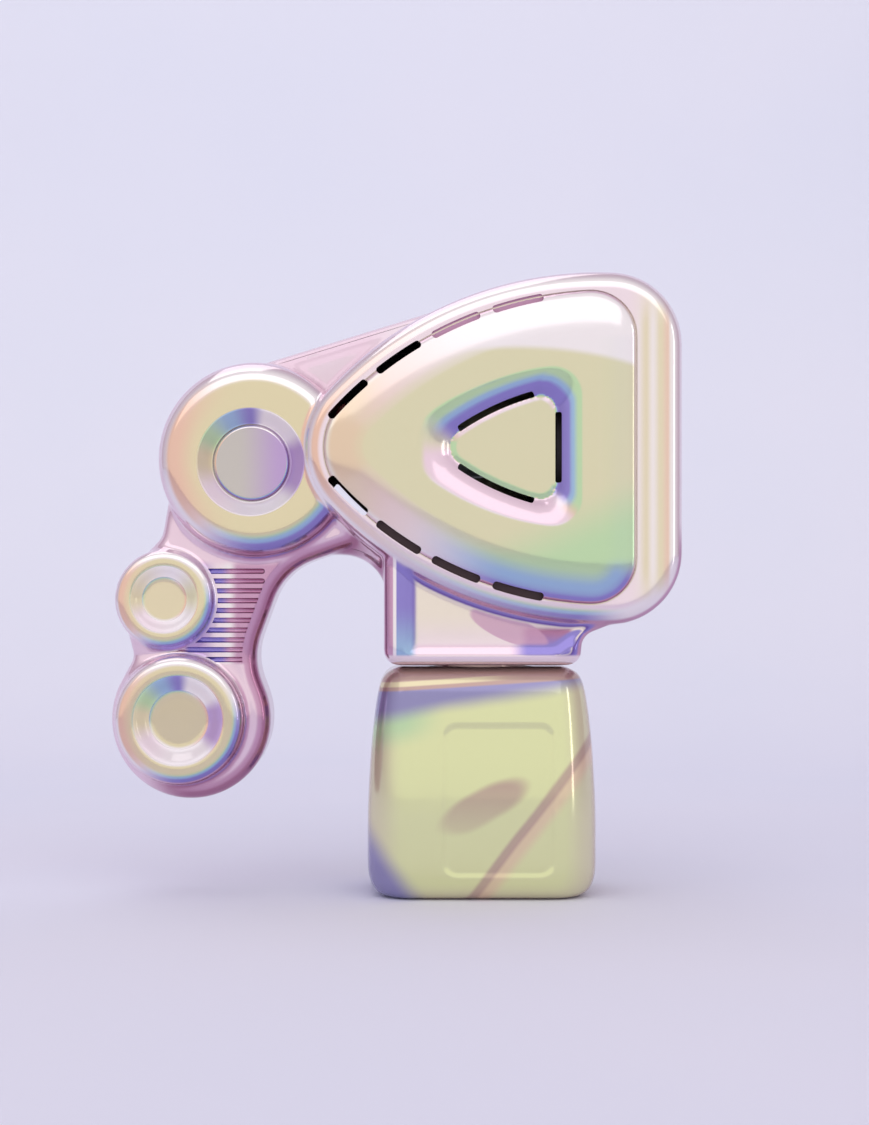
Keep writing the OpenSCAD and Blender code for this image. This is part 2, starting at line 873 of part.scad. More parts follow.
module bubble_plate() {
    color("Orchid") {
        along_x(plate_x, plate_t)
        difference() {
            circle(duct_or);
            circle(bubble_r);
            for (i = [0:5]) {
                rotate(60 * i)
                translate([muzzle_ir - bubble_r - 1, 0])
                circle(bubble_r);
            }
        }
        along_x(plate_x + plate_t, 1.4) {
            ring2d(bubble_r + 0.6, bubble_r);
            for (i = [0:5]) {
                rotate(60 * i)
                translate([muzzle_ir - bubble_r - 1, 0])
                ring2d(bubble_r + 0.6, bubble_r);
            }
        }
        difference() {
            rod(riser_x, -loop_r, riser_top, riser_top + 4, tube_r - 0.3);
            rod(riser_x, -loop_r, riser_top - eps, riser_top + 4 + eps, tube_bore);
        }
    }
}

module fan_duct() {
    ring_r = motor_d / 2 + snug / 2;
    color("DimGray") {
        along_x(duct_x, duct_len)
        ring2d(duct_or, duct_ir);
        along_x(duct_rib_x + rib_t, 1.2)
        ring2d(duct_or + 1, duct_or - 0.5);
        along_x(duct_x, spider_t) {
            ring2d(ring_r + spider_t, 3.3);
            for (i = [0:3]) {
                rotate(45 + 90 * i)
                translate([ring_r + 0.5, -1.2])
                square([duct_ir - ring_r, 2.4]);
            }
        }
        along_x(duct_x - 6, 6)
        ring2d(ring_r + spider_t, ring_r);
    }
}

module fan() {
    hub_x = duct_x + 4.4;
    hub_l = 8.6;
    color("WhiteSmoke") {
        along_x(hub_x, hub_l)
        ring2d(3.4, axle_r + 0.02);
        intersection() {
            along_x(hub_x, hub_l)
            ring2d(fan_r, 2.6);
            for (i = [0:fan_blades - 1]) {
                translate([hub_x + hub_l / 2, 0, axis_z])
                rotate([360 * i / fan_blades, 0, 0])
                rotate([0, 0, blade_tilt])
                translate([-hub_l, -0.45, 0])
                cube([2 * hub_l, 0.9, fan_r + 1]);
            }
        }
    }
}

module motor() {
    color("Silver")
    difference() {
        union() {
            along_x(motor_x, motor_len)
            intersection() {
                circle(d = motor_d);
                square([motor_d * 0.78, motor_d], center = true);
            }
            along_x(duct_x - 0.5, 1.7)
            circle(3);
            along_x(motor_x - 1, 1.5)
            circle(2.5);
        }
        along_x(motor_x - 2, motor_len + 4)
        circle(axle_r + run_gap);
    }
}

module motor_shaft() {
    color("Gainsboro")
    along_x(pinion_x - 0.4, shaft_front - pinion_x + 0.4)
    circle(axle_r);
}

module motor_pinion() {
    color("Ivory")
    along_x(pinion_x, pinion_l)
    difference() {
        gear2d(small_teeth);
        circle(axle_r + 0.02);
    }
}

module idler_gear() {
    color("Ivory") {
        along_x(idler_x, wheel_w, idler_z)
        difference() {
            gear2d(large_teeth, 180 / large_teeth);
            circle(axle_r + run_gap);
        }
        along_x(idler_x + wheel_w - 0.2, 4.2, idler_z)
        difference() {
            gear2d(small_teeth);
            circle(axle_r + run_gap);
        }
    }
}

module idler_axle() {
    color("Gainsboro")
    along_x(back_plate_x, pump_back_x + pump_plate_t - back_plate_x, idler_z)
    circle(axle_r);
}

module gear_frame() {
    mid_z = (idler_z + pump_z) / 2;
    pillar_x = back_plate_x + back_plate_t - 0.2;
    color("SlateGray") {
        along_x(back_plate_x, back_plate_t, mid_z)
        difference() {
            union() {
                square([gear_gap + 6, 7], center = true);
                square([5, 2 * pillar_y + 5], center = true);
            }
            for (s = [-1, 1]) {
                translate([s * gear_gap / 2, 0])
                circle(axle_r + 0.02);
            }
        }
        for (s = [-1, 1]) {
            along_x(pillar_x, pump_back_x - pillar_x, mid_z, s * pillar_y)
            circle(1.5);
        }
    }
}

module pump_gear() {
    color("Ivory")
    along_x(pump_wheel_x, wheel_w, pump_z)
    difference() {
        gear2d(large_teeth, 180 / large_teeth);
        circle(axle_r + run_gap);
    }
}

module pump_rotor() {
    hub_x = pump_wheel_x + wheel_w;
    color("Gold") {
        along_x(hub_x, track_x - hub_x + 1, pump_z)
        ring2d(2.4, axle_r + run_gap);
        along_x(track_x + 0.4, track_len - 0.8, pump_z)
        difference() {
            union() {
                circle(2.4);
                for (i = [0:2]) {
                    rotate(120 * i) {
                        translate([0, -1.1])
                        square([lobe_reach - lobe_r, 2.2]);
                        translate([lobe_reach - lobe_r, 0])
                        circle(lobe_r);
                    }
                }
            }
            circle(axle_r + run_gap);
        }
    }
}

module pump_axle() {
    color("Gainsboro")
    along_x(back_plate_x, cover_x + pump_plate_t - back_plate_x, pump_z)
    circle(axle_r);
}

module pump_housing() {
    rise = pump_z - socket_top;
    outer = track_r + 1.6;
    color("SlateGray") {
        along_x(pump_back_x, pump_plate_t, pump_z)
        difference() {
            union() {
                translate([-gear_gap - 3, -outer])
                square([gear_gap + 3 + rise, 2 * outer]);
                translate([-gear_gap / 2 - 2.5, -pillar_y - 2.5])
                square([5, 2 * pillar_y + 5]);
            }
            circle(3);
            translate([-gear_gap, 0])
            circle(axle_r + 0.02);
        }
        along_x(track_x - 0.2, track_len + 0.2, pump_z)
        difference() {
            union() {
                circle(outer);
                translate([0, -outer])
                square([rise, 2 * outer]);
            }
            circle(track_r);
            translate([0, -track_r])
            square([rise + eps, 2 * track_r]);
        }
    }
}

module pump_cover() {
    rise = pump_z - socket_top;
    outer = track_r + 1.6;
    color("SlateGray")
    along_x(cover_x, pump_plate_t, pump_z)
    difference() {
        union() {
            circle(outer);
            translate([0, -outer])
            square([rise, 2 * outer]);
        }
        circle(axle_r + 0.02);
        translate([pump_z - run_z - tube_r - 1, -loop_r - tube_r - 0.6])
        square([rise, 2 * tube_r + 1.2]);
    }
}

// bubble liquid: bottle to pump to plate
module bend(start, sweep, r0, r) {
    rotate_extrude(angle = sweep, start = start)
    translate([r0, 0])
    circle(r);
}

module pump_path(r, over) {
    rod(loop_x, loop_r, socket_top - over, pump_z, r);
    translate([loop_x, 0, pump_z])
    rotate([0, 90, 0])
    bend(90, 180, loop_r, r);
    rod(loop_x, -loop_r, run_z + bend_r, pump_z, r);
    translate([loop_x + bend_r, -loop_r, run_z + bend_r])
    rotate([90, 0, 0])
    bend(180, 90, bend_r, r);
    along_x(loop_x + bend_r, riser_x - loop_x - 2 * bend_r, run_z, -loop_r)
    circle(r);
    translate([riser_x - bend_r, -loop_r, run_z + bend_r])
    rotate([90, 0, 0])
    bend(270, 90, bend_r, r);
    rod(riser_x, -loop_r, run_z + bend_r, riser_top + over, r);
}

module pump_tube() {
    color("White")
    difference() {
        pump_path(tube_r, 0);
        pump_path(tube_bore, eps);
    }
}

module dip_tube() {
    color("White")
    difference() {
        rod(loop_x, loop_r, 4, socket_roof, tube_r);
        rod(loop_x, loop_r, 4 - eps, socket_roof + eps, tube_bore);
    }
}

// helical ridge between r0 and r1, with its half height at each
module helix(r0, r1, z0, turns, pitch, h0, h1, start = 0) {
    n = ceil(turns * 24);
    section = [[r0, -h0], [r0, h0], [r1, h1], [r1, -h1]];
    points = [
        for (i = [0:n])
            let (a = start + 360 * turns * i / n, z = z0 + pitch * turns * i / n)
            each [for (p = section) [p[0] * cos(a), p[0] * sin(a), z + p[1]]]
    ];
    faces = [
        for (i = [0:n - 1], k = [0:3])
            let (
                l = (k + 1) % 4,
                a = i * 4,
                b = a + 4
            )
            each [[a + k, b + k, b + l], [a + k, b + l, a + l]],
        [0, 1, 2, 3],
        [for (k = [3:-1:0]) n * 4 + k]
    ];
    polyhedron(points, faces);
}

module bottle_socket() {
    foot = neck_z + wall;
    color("SlateGray")
    difference() {
        union() {
            difference() {
                union() {
                    rod(0, 0, foot, socket_top, socket_or);
                    translate([-neck_half_w + wall + 0.6, -6, ear_z - ear_t])
                    cube([2 * (neck_half_w - wall - 0.6), 12, ear_t]);
                }
                rod(0, 0, foot - eps, socket_roof, socket_ir);
            }
            for (s = [0, 180]) {
                z = thread_z + thread_pitch * (1.5 + s / 360);
                helix(mouth_or + thread_gap, socket_ir + 0.4, z, 0.12, thread_pitch, 0.35, 0.6, s);
            }
        }
        rod(loop_x, loop_r, socket_roof - eps, socket_top + eps, tube_bore);
    }
}

module bottle_seal() {
    color("DarkSlateGray")
    difference() {
        rod(0, 0, mouth_top, socket_roof, mouth_or);
        rod(0, 0, mouth_top - eps, socket_roof + eps, mouth_r + 0.2);
    }
}

function bottle_ring(inset, steps = 5) =
    let (
        r = 11,
        x = bottle_half_w - r,
        y = bottle_half_d - r
    )
    belt([[-x, -y, r], [x, -y, r], [x, y, r], [-x, y, r]], inset, steps);

module bottle() {
    k = bottle_h / 58.3;
    color("PaleGoldenrod")
    difference() {
        union() {
            loft([
                for (p = [
                    [0, 5.5], [0.7, 3], [2, 1.5], [4.5, 0.5], [9, 0], [18, 0], [28, 0.3], [38, 0.9],
                    [46, 1.7], [52, 2.6], [55.3, 3.6], [57.2, 5.2], [58.3, 8]
                ])
                    [bottle_ring(p[1]), p[0] * k]
            ], [0, 0]);
            translate([0, 0, bottle_h - 2])
            linear_extrude(mouth_h + 2)
            polygon([for (a = [7.5:15:360]) mouth_or * [cos(a), sin(a)]]);
            helix(mouth_or - 0.4, crest_r, thread_z, thread_turns, thread_pitch, 0.75, 0.35);
        }
        loft([
            for (p = [
                [1.5, 7], [2.5, 4], [5, 2], [9, 1.2], [18, 1.2], [38, 2.1], [46, 2.9], [52, 4],
                [55.3, 5.4], [57, 9.6]
            ])
                [bottle_ring(p[1] - 1.2 + bottle_wall), p[0] * k]
        ], [0, 0]);
        rod(0, 0, bottle_h - 5, mouth_top + eps, mouth_r);
    }
}

// switch and button, in plan on the right side
module at_button() {
    rotate([90, 0, 0])
    translate([drum_dish_c.x, drum_dish_c.y, 0])
    children();
}

module power_button() {
    color("Thistle")
    at_button() {
        rod(0, 0, button_back, dish_floor + 0.5, button_r);
        rod(0, 0, button_back, button_back + 1.2, button_r + 1.4);
        rod(0, 0, stem_end, button_back + 0.5, stem_r);
    }
}

module button_spring() {
    lift = button_back - board_h - 2 * spring_wire_r;
    color("Silver")
    at_button()
    helix_wire(board_h + spring_wire_r, lift);
}

module helix_wire(z0, lift) {
    n = spring_turns * 14;
    sweep([
        for (i = [0:n])
            let (a = 360 * spring_turns * i / n)
            [spring_r * cos(a), spring_r * sin(a), z0 + lift * i / n]
    ], spring_wire_r, 5, [0, 0, 1]);
}

module switch_board() {
    color("DarkGreen")
    at_button()
    translate([-board_half.x, -board_half.y, board_h - board_t])
    cube([2 * board_half.x, 2 * board_half.y, board_t]);
}

module switch_case() {
    color("Black")
    at_button()
    difference() {
        translate([-switch_half, -switch_half, board_h])
        cube([2 * switch_half, 2 * switch_half, switch_top - board_h]);
        rod(0, 0, board_h + 0.3, switch_top + eps, plunger_r + run_gap);
    }
}

module switch_plunger() {
    color("Gray")
    at_button()
    rod(0, 0, board_h + 0.4 + button_travel, stem_end, plunger_r);
}

// cells in the grip
module in_bay() {
    translate(bay)
    rotate([0, cell_lean, 0])
    children();
}

// a point of the leaning bay, in the part's own frame
function bay_point(p) = bay + [
    p.x * cos(cell_lean) + p.z * sin(cell_lean),
    p.y,
    p.z * cos(cell_lean) - p.x * sin(cell_lean)
];

module cell_tray() {
    l = 2 * tray_end;
    color("DimGray")
    in_bay()
    difference() {
        translate([-bay_half_w, tray_floor, -l / 2])
        cube([2 * bay_half_w, 9, l]);
        translate([bay_wall - bay_half_w, -cell_d / 2, -bay_half_l])
        cube([2 * (bay_half_w - bay_wall), 12, 2 * bay_half_l]);
    }
}

module cell(up) {
    r = cell_d / 2;
    mirror([0, 0, up ? 0 : 1]) {
        translate([0, 0, -cell_len / 2 - 0.5])
        cylinder(h = cell_len - 1, r = r);
        translate([0, 0, cell_len / 2 - 1.6])
        cylinder(h = 1, r = 1.9);
    }
}

module front_cell() {
    color("SteelBlue")
    in_bay()
    translate([cell_d / 2 + 0.12, 0, 0])
    cell(true);
}

module rear_cell() {
    color("SteelBlue")
    in_bay()
    translate([-cell_d / 2 - 0.12, 0, 0])
    cell(false);
}

module cell_contacts() {
    plate_z = bay_half_l - 0.4;
    reach = cell_len / 2 + 0.5;
    color("Goldenrod")
    in_bay() {
        for (e = [-1, 1]) {
            translate([-bay_half_w + bay_wall + 0.6, -3.5, e > 0 ? plate_z : -bay_half_l])
            cube([2 * (bay_half_w - bay_wall) - 1.2, 7, 0.4]);
            mirror([0, 0, e > 0 ? 0 : 1]) {
                translate([e * (-cell_d / 2 - 0.12), 0, reach])
                cylinder(h = bay_half_l - reach - 0.2, r1 = 2, r2 = 3);
                translate([e * (cell_d / 2 + 0.12), 0, reach - 1.1])
                cylinder(h = bay_half_l - reach + 0.9, r = 1.2);
            }
        }
    }
}

module cell_door_screw() {
    color("Silver")
    mirror([0, 1, 0])
    rotate([90, 0, 0])
    translate([door_pos.x, door_pos.y, 0])
    rotate([0, 0, -cell_lean])
    difference() {
        union() {
            rod(0, door_screw_l, door_seat - screw_len + 2, door_seat + 0.5, screw_r);
            rod(0, door_screw_l, door_seat, door_seat + 1.8, screw_head_r);
        }
        cross_slot(0, door_screw_l, door_seat + 1.8);
    }
}

module cross_slot(x, y, top) {
    translate([x - 1.5, y - 0.3, top - 0.8])
    cube([3, 0.6, 0.8 + eps]);
    translate([x - 0.3, y - 1.5, top - 0.8])
    cube([0.6, 3, 0.8 + eps]);
}

module case_screws() {
    color("Silver")
    mirror([0, 1, 0])
    rotate([90, 0, 0])
    for (b = bosses) {
        difference() {
            union() {
                rod(b.x, b.y, screw_seat - screw_len, screw_seat + 0.5, screw_r);
                rod(b.x, b.y, screw_seat, screw_seat + 1.8, screw_head_r);
            }
            cross_slot(b.x, b.y, screw_seat + 1.8);
        }
    }
}

module red_wire() {
    color("Firebrick")
    sweep([
        [drum_dish_c.x + board_half.x - 2.3, -board_h - 0.4, drum_dish_c.y - board_half.y + 3.35],
        [drum_c.x + 7.9, 1, axis_z - 6.6], [drum_c.x + 10.4, -4, axis_z - 6],
        [drum_c.x + 14.4, -8.4, axis_z - 3], [drum_c.x + 17.4, -9, axis_z + 4],
        [drum_c.x + 21.4, -8, axis_z + 11], [motor_x - 16.2, -6, axis_z + 12],
        [motor_x - 6.2, -4.5, axis_z + 8], [motor_x - 0.5, -4.5, axis_z + 3]
    ], wire_r);
}

module black_wire() {
    color("Black")
    sweep([
        bay_point([cell_d / 2, 0, tray_end + 0.5]), bay_point([cell_d / 2, 1.5, tray_end + 5]),
        [drum_c.x + 5.4, 4, drum_c.y - 16.2], [drum_c.x + 13.4, 6, axis_z - 14],
        [drum_c.x + 21.4, 6.5, axis_z - 4], [motor_x - 18.2, 6, axis_z + 7],
        [motor_x - 7.2, 4.5, axis_z + 7], [motor_x - 0.5, 4.5, axis_z + 3]
    ], wire_r);
}

right_shell();
left_shell();
right_panel();
left_panel();
muzzle();
bubble_plate();
fan_duct();
fan();
motor();
motor_shaft();
motor_pinion();
idler_gear();
idler_axle();
gear_frame();
pump_gear();
pump_rotor();
pump_axle();
pump_housing();
pump_cover();
pump_tube();
dip_tube();
bottle_socket();
bottle_seal();
bottle();
power_button();
button_spring();
switch_board();
switch_case();
switch_plunger();
cell_tray();
front_cell();
rear_cell();
cell_contacts();
cell_door();
cell_door_screw();
case_screws();
red_wire();
black_wire();
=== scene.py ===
"""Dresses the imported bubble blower: plated casing, panels, bottle, button and the studio it stands in."""

import functools
import json
import math

import bmesh
import bpy
from bpy.props import FloatProperty, FloatVectorProperty, IntProperty, PointerProperty
from mathutils import Matrix, Vector
from mathutils.bvhtree import BVHTree


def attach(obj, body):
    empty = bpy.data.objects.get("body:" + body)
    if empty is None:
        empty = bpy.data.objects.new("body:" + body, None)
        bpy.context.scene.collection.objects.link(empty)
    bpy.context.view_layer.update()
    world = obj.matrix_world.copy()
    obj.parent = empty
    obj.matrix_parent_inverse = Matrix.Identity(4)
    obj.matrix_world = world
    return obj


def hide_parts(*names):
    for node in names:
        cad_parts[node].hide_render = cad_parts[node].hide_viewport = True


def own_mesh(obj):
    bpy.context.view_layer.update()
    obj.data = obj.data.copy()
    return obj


bl_info = {
    "name": "Bubble Blower",
    "version": (1, 0, 0),
    "blender": (4, 5, 0),
    "location": "View3D > Sidebar > Blower",
    "description": "Builds the plated casing, bottle and studio of a battery bubble blower",
    "category": "Object",
}

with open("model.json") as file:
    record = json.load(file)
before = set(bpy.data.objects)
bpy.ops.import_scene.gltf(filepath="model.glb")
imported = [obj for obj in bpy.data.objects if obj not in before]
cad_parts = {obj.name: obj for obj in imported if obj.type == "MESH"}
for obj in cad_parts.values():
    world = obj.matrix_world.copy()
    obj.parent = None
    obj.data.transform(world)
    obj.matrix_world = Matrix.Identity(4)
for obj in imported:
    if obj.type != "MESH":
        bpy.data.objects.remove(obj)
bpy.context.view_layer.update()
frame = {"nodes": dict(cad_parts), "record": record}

# Sizes in millimetres. Forms are drawn in plan: x forwards, y up, height out from the parting plane.
MM = 0.001
NECK_Z = 56.75
AXIS_Z = 109.3
WALL = 1.6
WEB_HALF = 10.0
GRIP_HALF = 11.0
GRIP_EDGE = 3.5
NECK_HALF = 17.65
NECK_RECESS = 1.0
HEAD_HALF = 19.55
HEAD_CEILING = 16.95
PANEL_SEAT = 1.1
PANEL_GAP = 0.2
PANEL_LEDGE = 3.0
CROWN = 22.05
DRUM = (-55.4, NECK_Z + 50.2)
DRUM_R = 23.6
DRUM_HALF = 17.0
DISH = (-56.2, NECK_Z + 49.2)
DISH_R = 12.8
DISH_DEPTH = 3.5
SMALL = (-77.6, NECK_Z + 16)
SMALL_R = 12.2
SMALL_HALF = 13.0
LOWER = (-71.4, NECK_Z - 13.4)
LOWER_R = 19.6
RING = (-74.0, NECK_Z - 13.4)
RING_R = 15.8
RING_HALF = 15.0
BUTTON_R = 9.2
BUTTON_GAP = 0.3
BUTTON_BACK = 10.6
STEM_R = 2.5
STEM_END = 3.1
SPRING_R = 5.6
SPRING_WIRE_R = 0.3
SPRING_TURNS = 7
SPRING_GAP = 0.05
BOARD = -4.0
FRONT_X = 48.25
NOSE_X = -23.0
SIDE_R = 90.0
OPENING_R = 13.75
SOCKET_R = 13.15
BOSSES = (
    (42.35, AXIS_Z + 22, 17.3), (42.35, AXIS_Z - 22, 17.3), (-40.5, AXIS_Z + 20.5, 9.2),
    (-69.5, AXIS_Z - 11, 16.2), (18.7, NECK_Z + 5.5, 15.8), (-18.7, NECK_Z + 5.5, 15.8),
    (-57.6, NECK_Z - 16.5, 10.2),
)
BOSS_R = 3.1
PILOT_R = 1.3
PILOT_TOP = 7.0
SCREW_R = 1.5
SCREW_HEAD_R = 2.6
SCREW_SEAT = 6.0
CELL_LEAN = math.radians(14.5)
BAY = (-70.3, NECK_Z + 2.2)
DOOR_SCREW = -28.85
DOOR_CORNERS = ((0, DOOR_SCREW), (7.2, -21.25), (7.2, 20.25), (-7.2, 20.25), (-7.2, -21.25))
DOOR_CORNER_R = 4.0
DOOR_GAP = 0.3


def bulge(a, b, r):
    """Circle of radius r that holds both circles and touches them, on the left of a to b."""
    d = Vector((b[0] - a[0], b[1] - a[1]))
    length = d.length
    e = d / length
    p, q = r - a[2], r - b[2]
    t = (p * p - q * q + length * length) / (2 * length)
    h = math.sqrt(p * p - t * t)
    return (a[0] + e.x * t - e.y * h, a[1] + e.y * t + e.x * h, r)


def rounded_triangle(nose_x, nose_r, corner_x, corner_dz, corner_r, side_r):
    nose = (nose_x, AXIS_Z, nose_r)
    top = (corner_x, AXIS_Z + corner_dz, corner_r)
    low = (corner_x, AXIS_Z - corner_dz, corner_r)
    return [low, top, bulge(top, nose, side_r), nose, bulge(nose, low, side_r)]


def grip_line(small_r):
    return [
        (-20, AXIS_Z - 11, 8), (*DRUM, DRUM_R - 4), (-82.25, NECK_Z + 33.25, -4), (*SMALL, small_r),
        (-88.6, NECK_Z + 2.25, -3), (*LOWER, LOWER_R), (-39.4, NECK_Z + 1.85, -15.75),
        (-36, NECK_Z + 10.5, -16),
    ]


SPINE = [
    (-15.25, NECK_Z + 11.25, 8), (5.7, AXIS_Z + 13.9, 25), (*DRUM, DRUM_R - 1), (-34.25, NECK_Z + 16, -11),
]
NECK = [
    (-20.5, NECK_Z + 3.5, 3.5), (20.5, NECK_Z + 3.5, 3.5), (28, NECK_Z + 4.4, -4),
    (30.75, AXIS_Z - 25.2, 16.5), (-12.5, AXIS_Z - 16, 11.5),
]
RECESS = [
    (-16.8, NECK_Z + 4.2, 2), (16.8, NECK_Z + 4.2, 2), (30, AXIS_Z - 25.2, 13), (-15.8, AXIS_Z - 16, 3),
]
HEAD = rounded_triangle(NOSE_X, 20.5, 30.75, 25.16, 17.5, SIDE_R)
PANEL = rounded_triangle(NOSE_X, 15.5, 25.8, 26.7, 11, SIDE_R)
INTAKE = rounded_triangle(-5.5, 11, 16.8, 12.6, 6.5, 60)
INTAKE_FLOOR = rounded_triangle(-3.6, 4.4, 13.7, 8.8, 3.7, 60)


# Drawing helpers: places, outlines, rounded profiles, turned forms and cuts.
MERGE = 1e-4
NEAR = 1e-3
ARC_STEP = 0.12
BASE = -3.0


def at(x, y, z):
    return Matrix.Translation((x, y, z))


def spun_by(angle, axis):
    return Matrix.Rotation(angle, 4, axis)


def heading(a, b):
    d = Vector((b[0] - a[0], b[1] - a[1]))
    return math.atan2(d.y, d.x) - math.asin(max(-1.0, min(1.0, (b[2] - a[2]) / d.length)))


def turning(r, a, b):
    full = 2 * math.pi
    t = (b - a) % full if r > 0 else -((a - b) % full)
    return 0.0 if abs(t) > full - 0.02 else t


def swept(bm, geom, angle, steps, cent=(0, 0, 0), axis=(0, 0, 1), **more):
    """Spins part of a form and gives what the spin ends on."""
    return bmesh.ops.spin(bm, geom=geom, cent=cent, axis=axis, angle=angle, steps=steps, **more)["geom_last"]


def verts_in(geom):
    return [g for g in geom if isinstance(g, bmesh.types.BMVert)]


def draw_outline(bm, circles, height, inset=0.0, step=1.2):
    """Closed outline of arcs joined by tangents; the same circles give the same count at any inset."""
    n = len(circles)
    first = last = None
    for i, (x, y, r) in enumerate(circles):
        a = heading(circles[i - 1], circles[i])
        t = turning(r, a, heading(circles[i], circles[(i + 1) % n]))
        reach = r - inset
        start = bm.verts.new((x + reach * math.sin(a), y - reach * math.cos(a), height))
        if last:
            bm.edges.new((last, start))
        first = first or start
        last = start
        if abs(t) > NEAR:
            steps = max(3, math.ceil(abs(t * r) / step), math.ceil(abs(t) / ARC_STEP))
            last = verts_in(swept(bm, [start], t, steps, (x, y, height)))[0]
    bm.edges.new((last, first))
    loose = [v for v in bm.verts if not v.link_faces and abs(v.co.z - height) < NEAR]
    bmesh.ops.remove_doubles(bm, verts=loose, dist=MERGE)
    return [e for e in bm.edges if not e.link_faces and abs(e.verts[0].co.z - height) < NEAR]


def close_up(bm):
    bmesh.ops.remove_doubles(bm, verts=bm.verts, dist=MERGE)
    bmesh.ops.recalc_face_normals(bm, faces=bm.faces)
    return bm


def loft(rings, step=1.2):
    """Closed form through outlines, each [circles, inset, height]."""
    bm = bmesh.new()
    loops = []
    for circles, inset, height in rings:
        loops.append(draw_outline(bm, circles, height, inset, step))
        if len(loops) > 1:
            bmesh.ops.bridge_loops(bm, edges=loops[-2] + loops[-1])
    bmesh.ops.edgeloop_fill(bm, edges=loops[0])
    bmesh.ops.edgeloop_fill(bm, edges=loops[-1])
    return close_up(bm)


def block(circles, low, high, inset=0.0, step=1.2):
    return loft([(circles, inset, low), (circles, inset, high)], step)


def pillow(circles, top, edge_r, segments):
    """Block with a rounded upper edge, from below the parting plane."""
    turns = [math.pi / 2 * k / segments for k in range(segments + 1)]
    edge = [(circles, edge_r * (1 - math.cos(a)), top - edge_r * (1 - math.sin(a))) for a in turns]
    return loft([(circles, 0.0, BASE), *edge])


def draw_profile(bm, points, steps=6):
    """Open chain through [across, along, rounding] points, standing in the XZ plane."""
    chain = [Vector((p[0], 0, p[1])) for p in points]
    last = None
    for i, p in enumerate(chain):
        r = points[i][2] if len(points[i]) > 2 else 0.0
        if not r:
            here = bm.verts.new(p)
            if last:
                bm.edges.new((last, here))
            last = here
            continue
        u = (chain[i - 1] - p).normalized()
        v = (chain[i + 1] - p).normalized()
        half = u.angle(v) / 2
        start = bm.verts.new(p + u * (r / math.tan(half)))
        bm.edges.new((last, start))
        centre = p + (u + v).normalized() * (r / math.sin(half))
        axis = u.cross(v).normalized()
        last = verts_in(swept(bm, [start], math.pi - 2 * half, steps, centre, -axis))[0]
    return bm


def turned(points, centre=(0, 0), sides=128):
    """Form spun round an upright axis; points run [radius, height, rounding]."""
    bm = draw_profile(bmesh.new(), points)
    swept(bm, bm.verts[:] + bm.edges[:], 2 * math.pi, sides, use_merge=True)
    return close_up(shifted(bm, at(*centre, 0)))


def rod(x, y, low, high, r, sides=64):
    return turned([(0, low), (r, low), (r, high), (0, high)], (x, y), sides)


def coil(centre, radius, wire, low, high, turns):
    """Round wire wound between two heights, just clear of both."""
    bm = bmesh.new()
    bmesh.ops.create_circle(bm, segments=8, radius=wire)
    clear = wire + SPRING_GAP
    shifted(bm, at(centre[0] + radius, centre[1], low + clear) @ spun_by(math.pi / 2, "X"))
    steps = 24 * turns
    lift = (0, 0, (high - low - 2 * clear) / steps)
    swept(bm, bm.verts[:] + bm.edges[:], 2 * math.pi * turns, steps, (*centre, 0), dvec=lift)
    bmesh.ops.holes_fill(bm, edges=[edge for edge in bm.edges if edge.is_boundary])
    return close_up(bm)


def bar(x0, x1, y0, y1, h0, h1, rounding=0.0):
    """Box between three pairs of limits, with its edges rounded if asked."""
    bm = bmesh.new()
    bmesh.ops.create_cube(bm, size=1.0)
    size = Matrix.Diagonal((x1 - x0, y1 - y0, h1 - h0, 1))
    shifted(bm, at((x0 + x1) / 2, (y0 + y1) / 2, (h0 + h1) / 2) @ size)
    if rounding:
        bevelled(bm, bm.edges[:], rounding, 3)
    return bm


def bevelled(bm, edges, offset, segments):
    bmesh.ops.bevel(
        bm, geom=edges, offset=offset, segments=segments, profile=0.5, affect="EDGES", material=-1
    )


def shifted(bm, matrix):
    bmesh.ops.transform(bm, matrix=matrix, verts=bm.verts)
    if matrix.determinant() < 0:
        bmesh.ops.reverse_faces(bm, faces=bm.faces)
    return bm


def joined(*forms):
    """One bmesh that holds several."""
    whole = forms[0]
    for form in forms[1:]:
        mesh = bpy.data.meshes.new("part")
        form.to_mesh(mesh)
        form.free()
        whole.from_mesh(mesh)
        bpy.data.meshes.remove(mesh)
    return whole


def linked(name, data):
    obj = bpy.data.objects.new(name, data)
    bpy.context.scene.collection.objects.link(obj)
    return obj


def as_object(bm, name):
    mesh = bpy.data.meshes.new(name)
    bm.to_mesh(mesh)
    bm.free()
    return linked(name, mesh)


def discard(obj):
    mesh = obj.data
    bpy.data.objects.remove(obj)
    bpy.data.meshes.remove(mesh)


def taken(obj):
    """The object's mesh with its modifiers, as a bmesh; the object goes."""
    graph = bpy.context.evaluated_depsgraph_get()
    bm = bmesh.new()
    bm.from_object(obj, graph)
    discard(obj)
    return bm


def fused(bm, voxel, passes):
    """Melts overlapping forms into one moulded skin with soft inner corners."""
    obj = as_object(bm, "melt")
    remesh = obj.modifiers.new("melt", "REMESH")
    remesh.mode = "VOXEL"
    remesh.voxel_size = voxel
    return softened(taken(obj), passes)


def softened(bm, passes):
    for _ in range(passes):
        bmesh.ops.smooth_vert(
            bm, verts=bm.verts, factor=0.5, use_axis_x=True, use_axis_y=True, use_axis_z=True
        )
    return bm


def combined(bm, tool, how):
    body, other = as_object(bm, "body"), as_object(tool, "tool")
    change = body.modifiers.new("cut", "BOOLEAN")
    change.operation = how
    change.solver = "MANIFOLD"
    change.object = other
    result = taken(body)
    discard(other)
    if not result.faces:
        raise RuntimeError("a cut left nothing")
    return result


def cut(bm, *tools):
    return functools.reduce(lambda form, tool: combined(form, tool, "DIFFERENCE"), tools, bm)


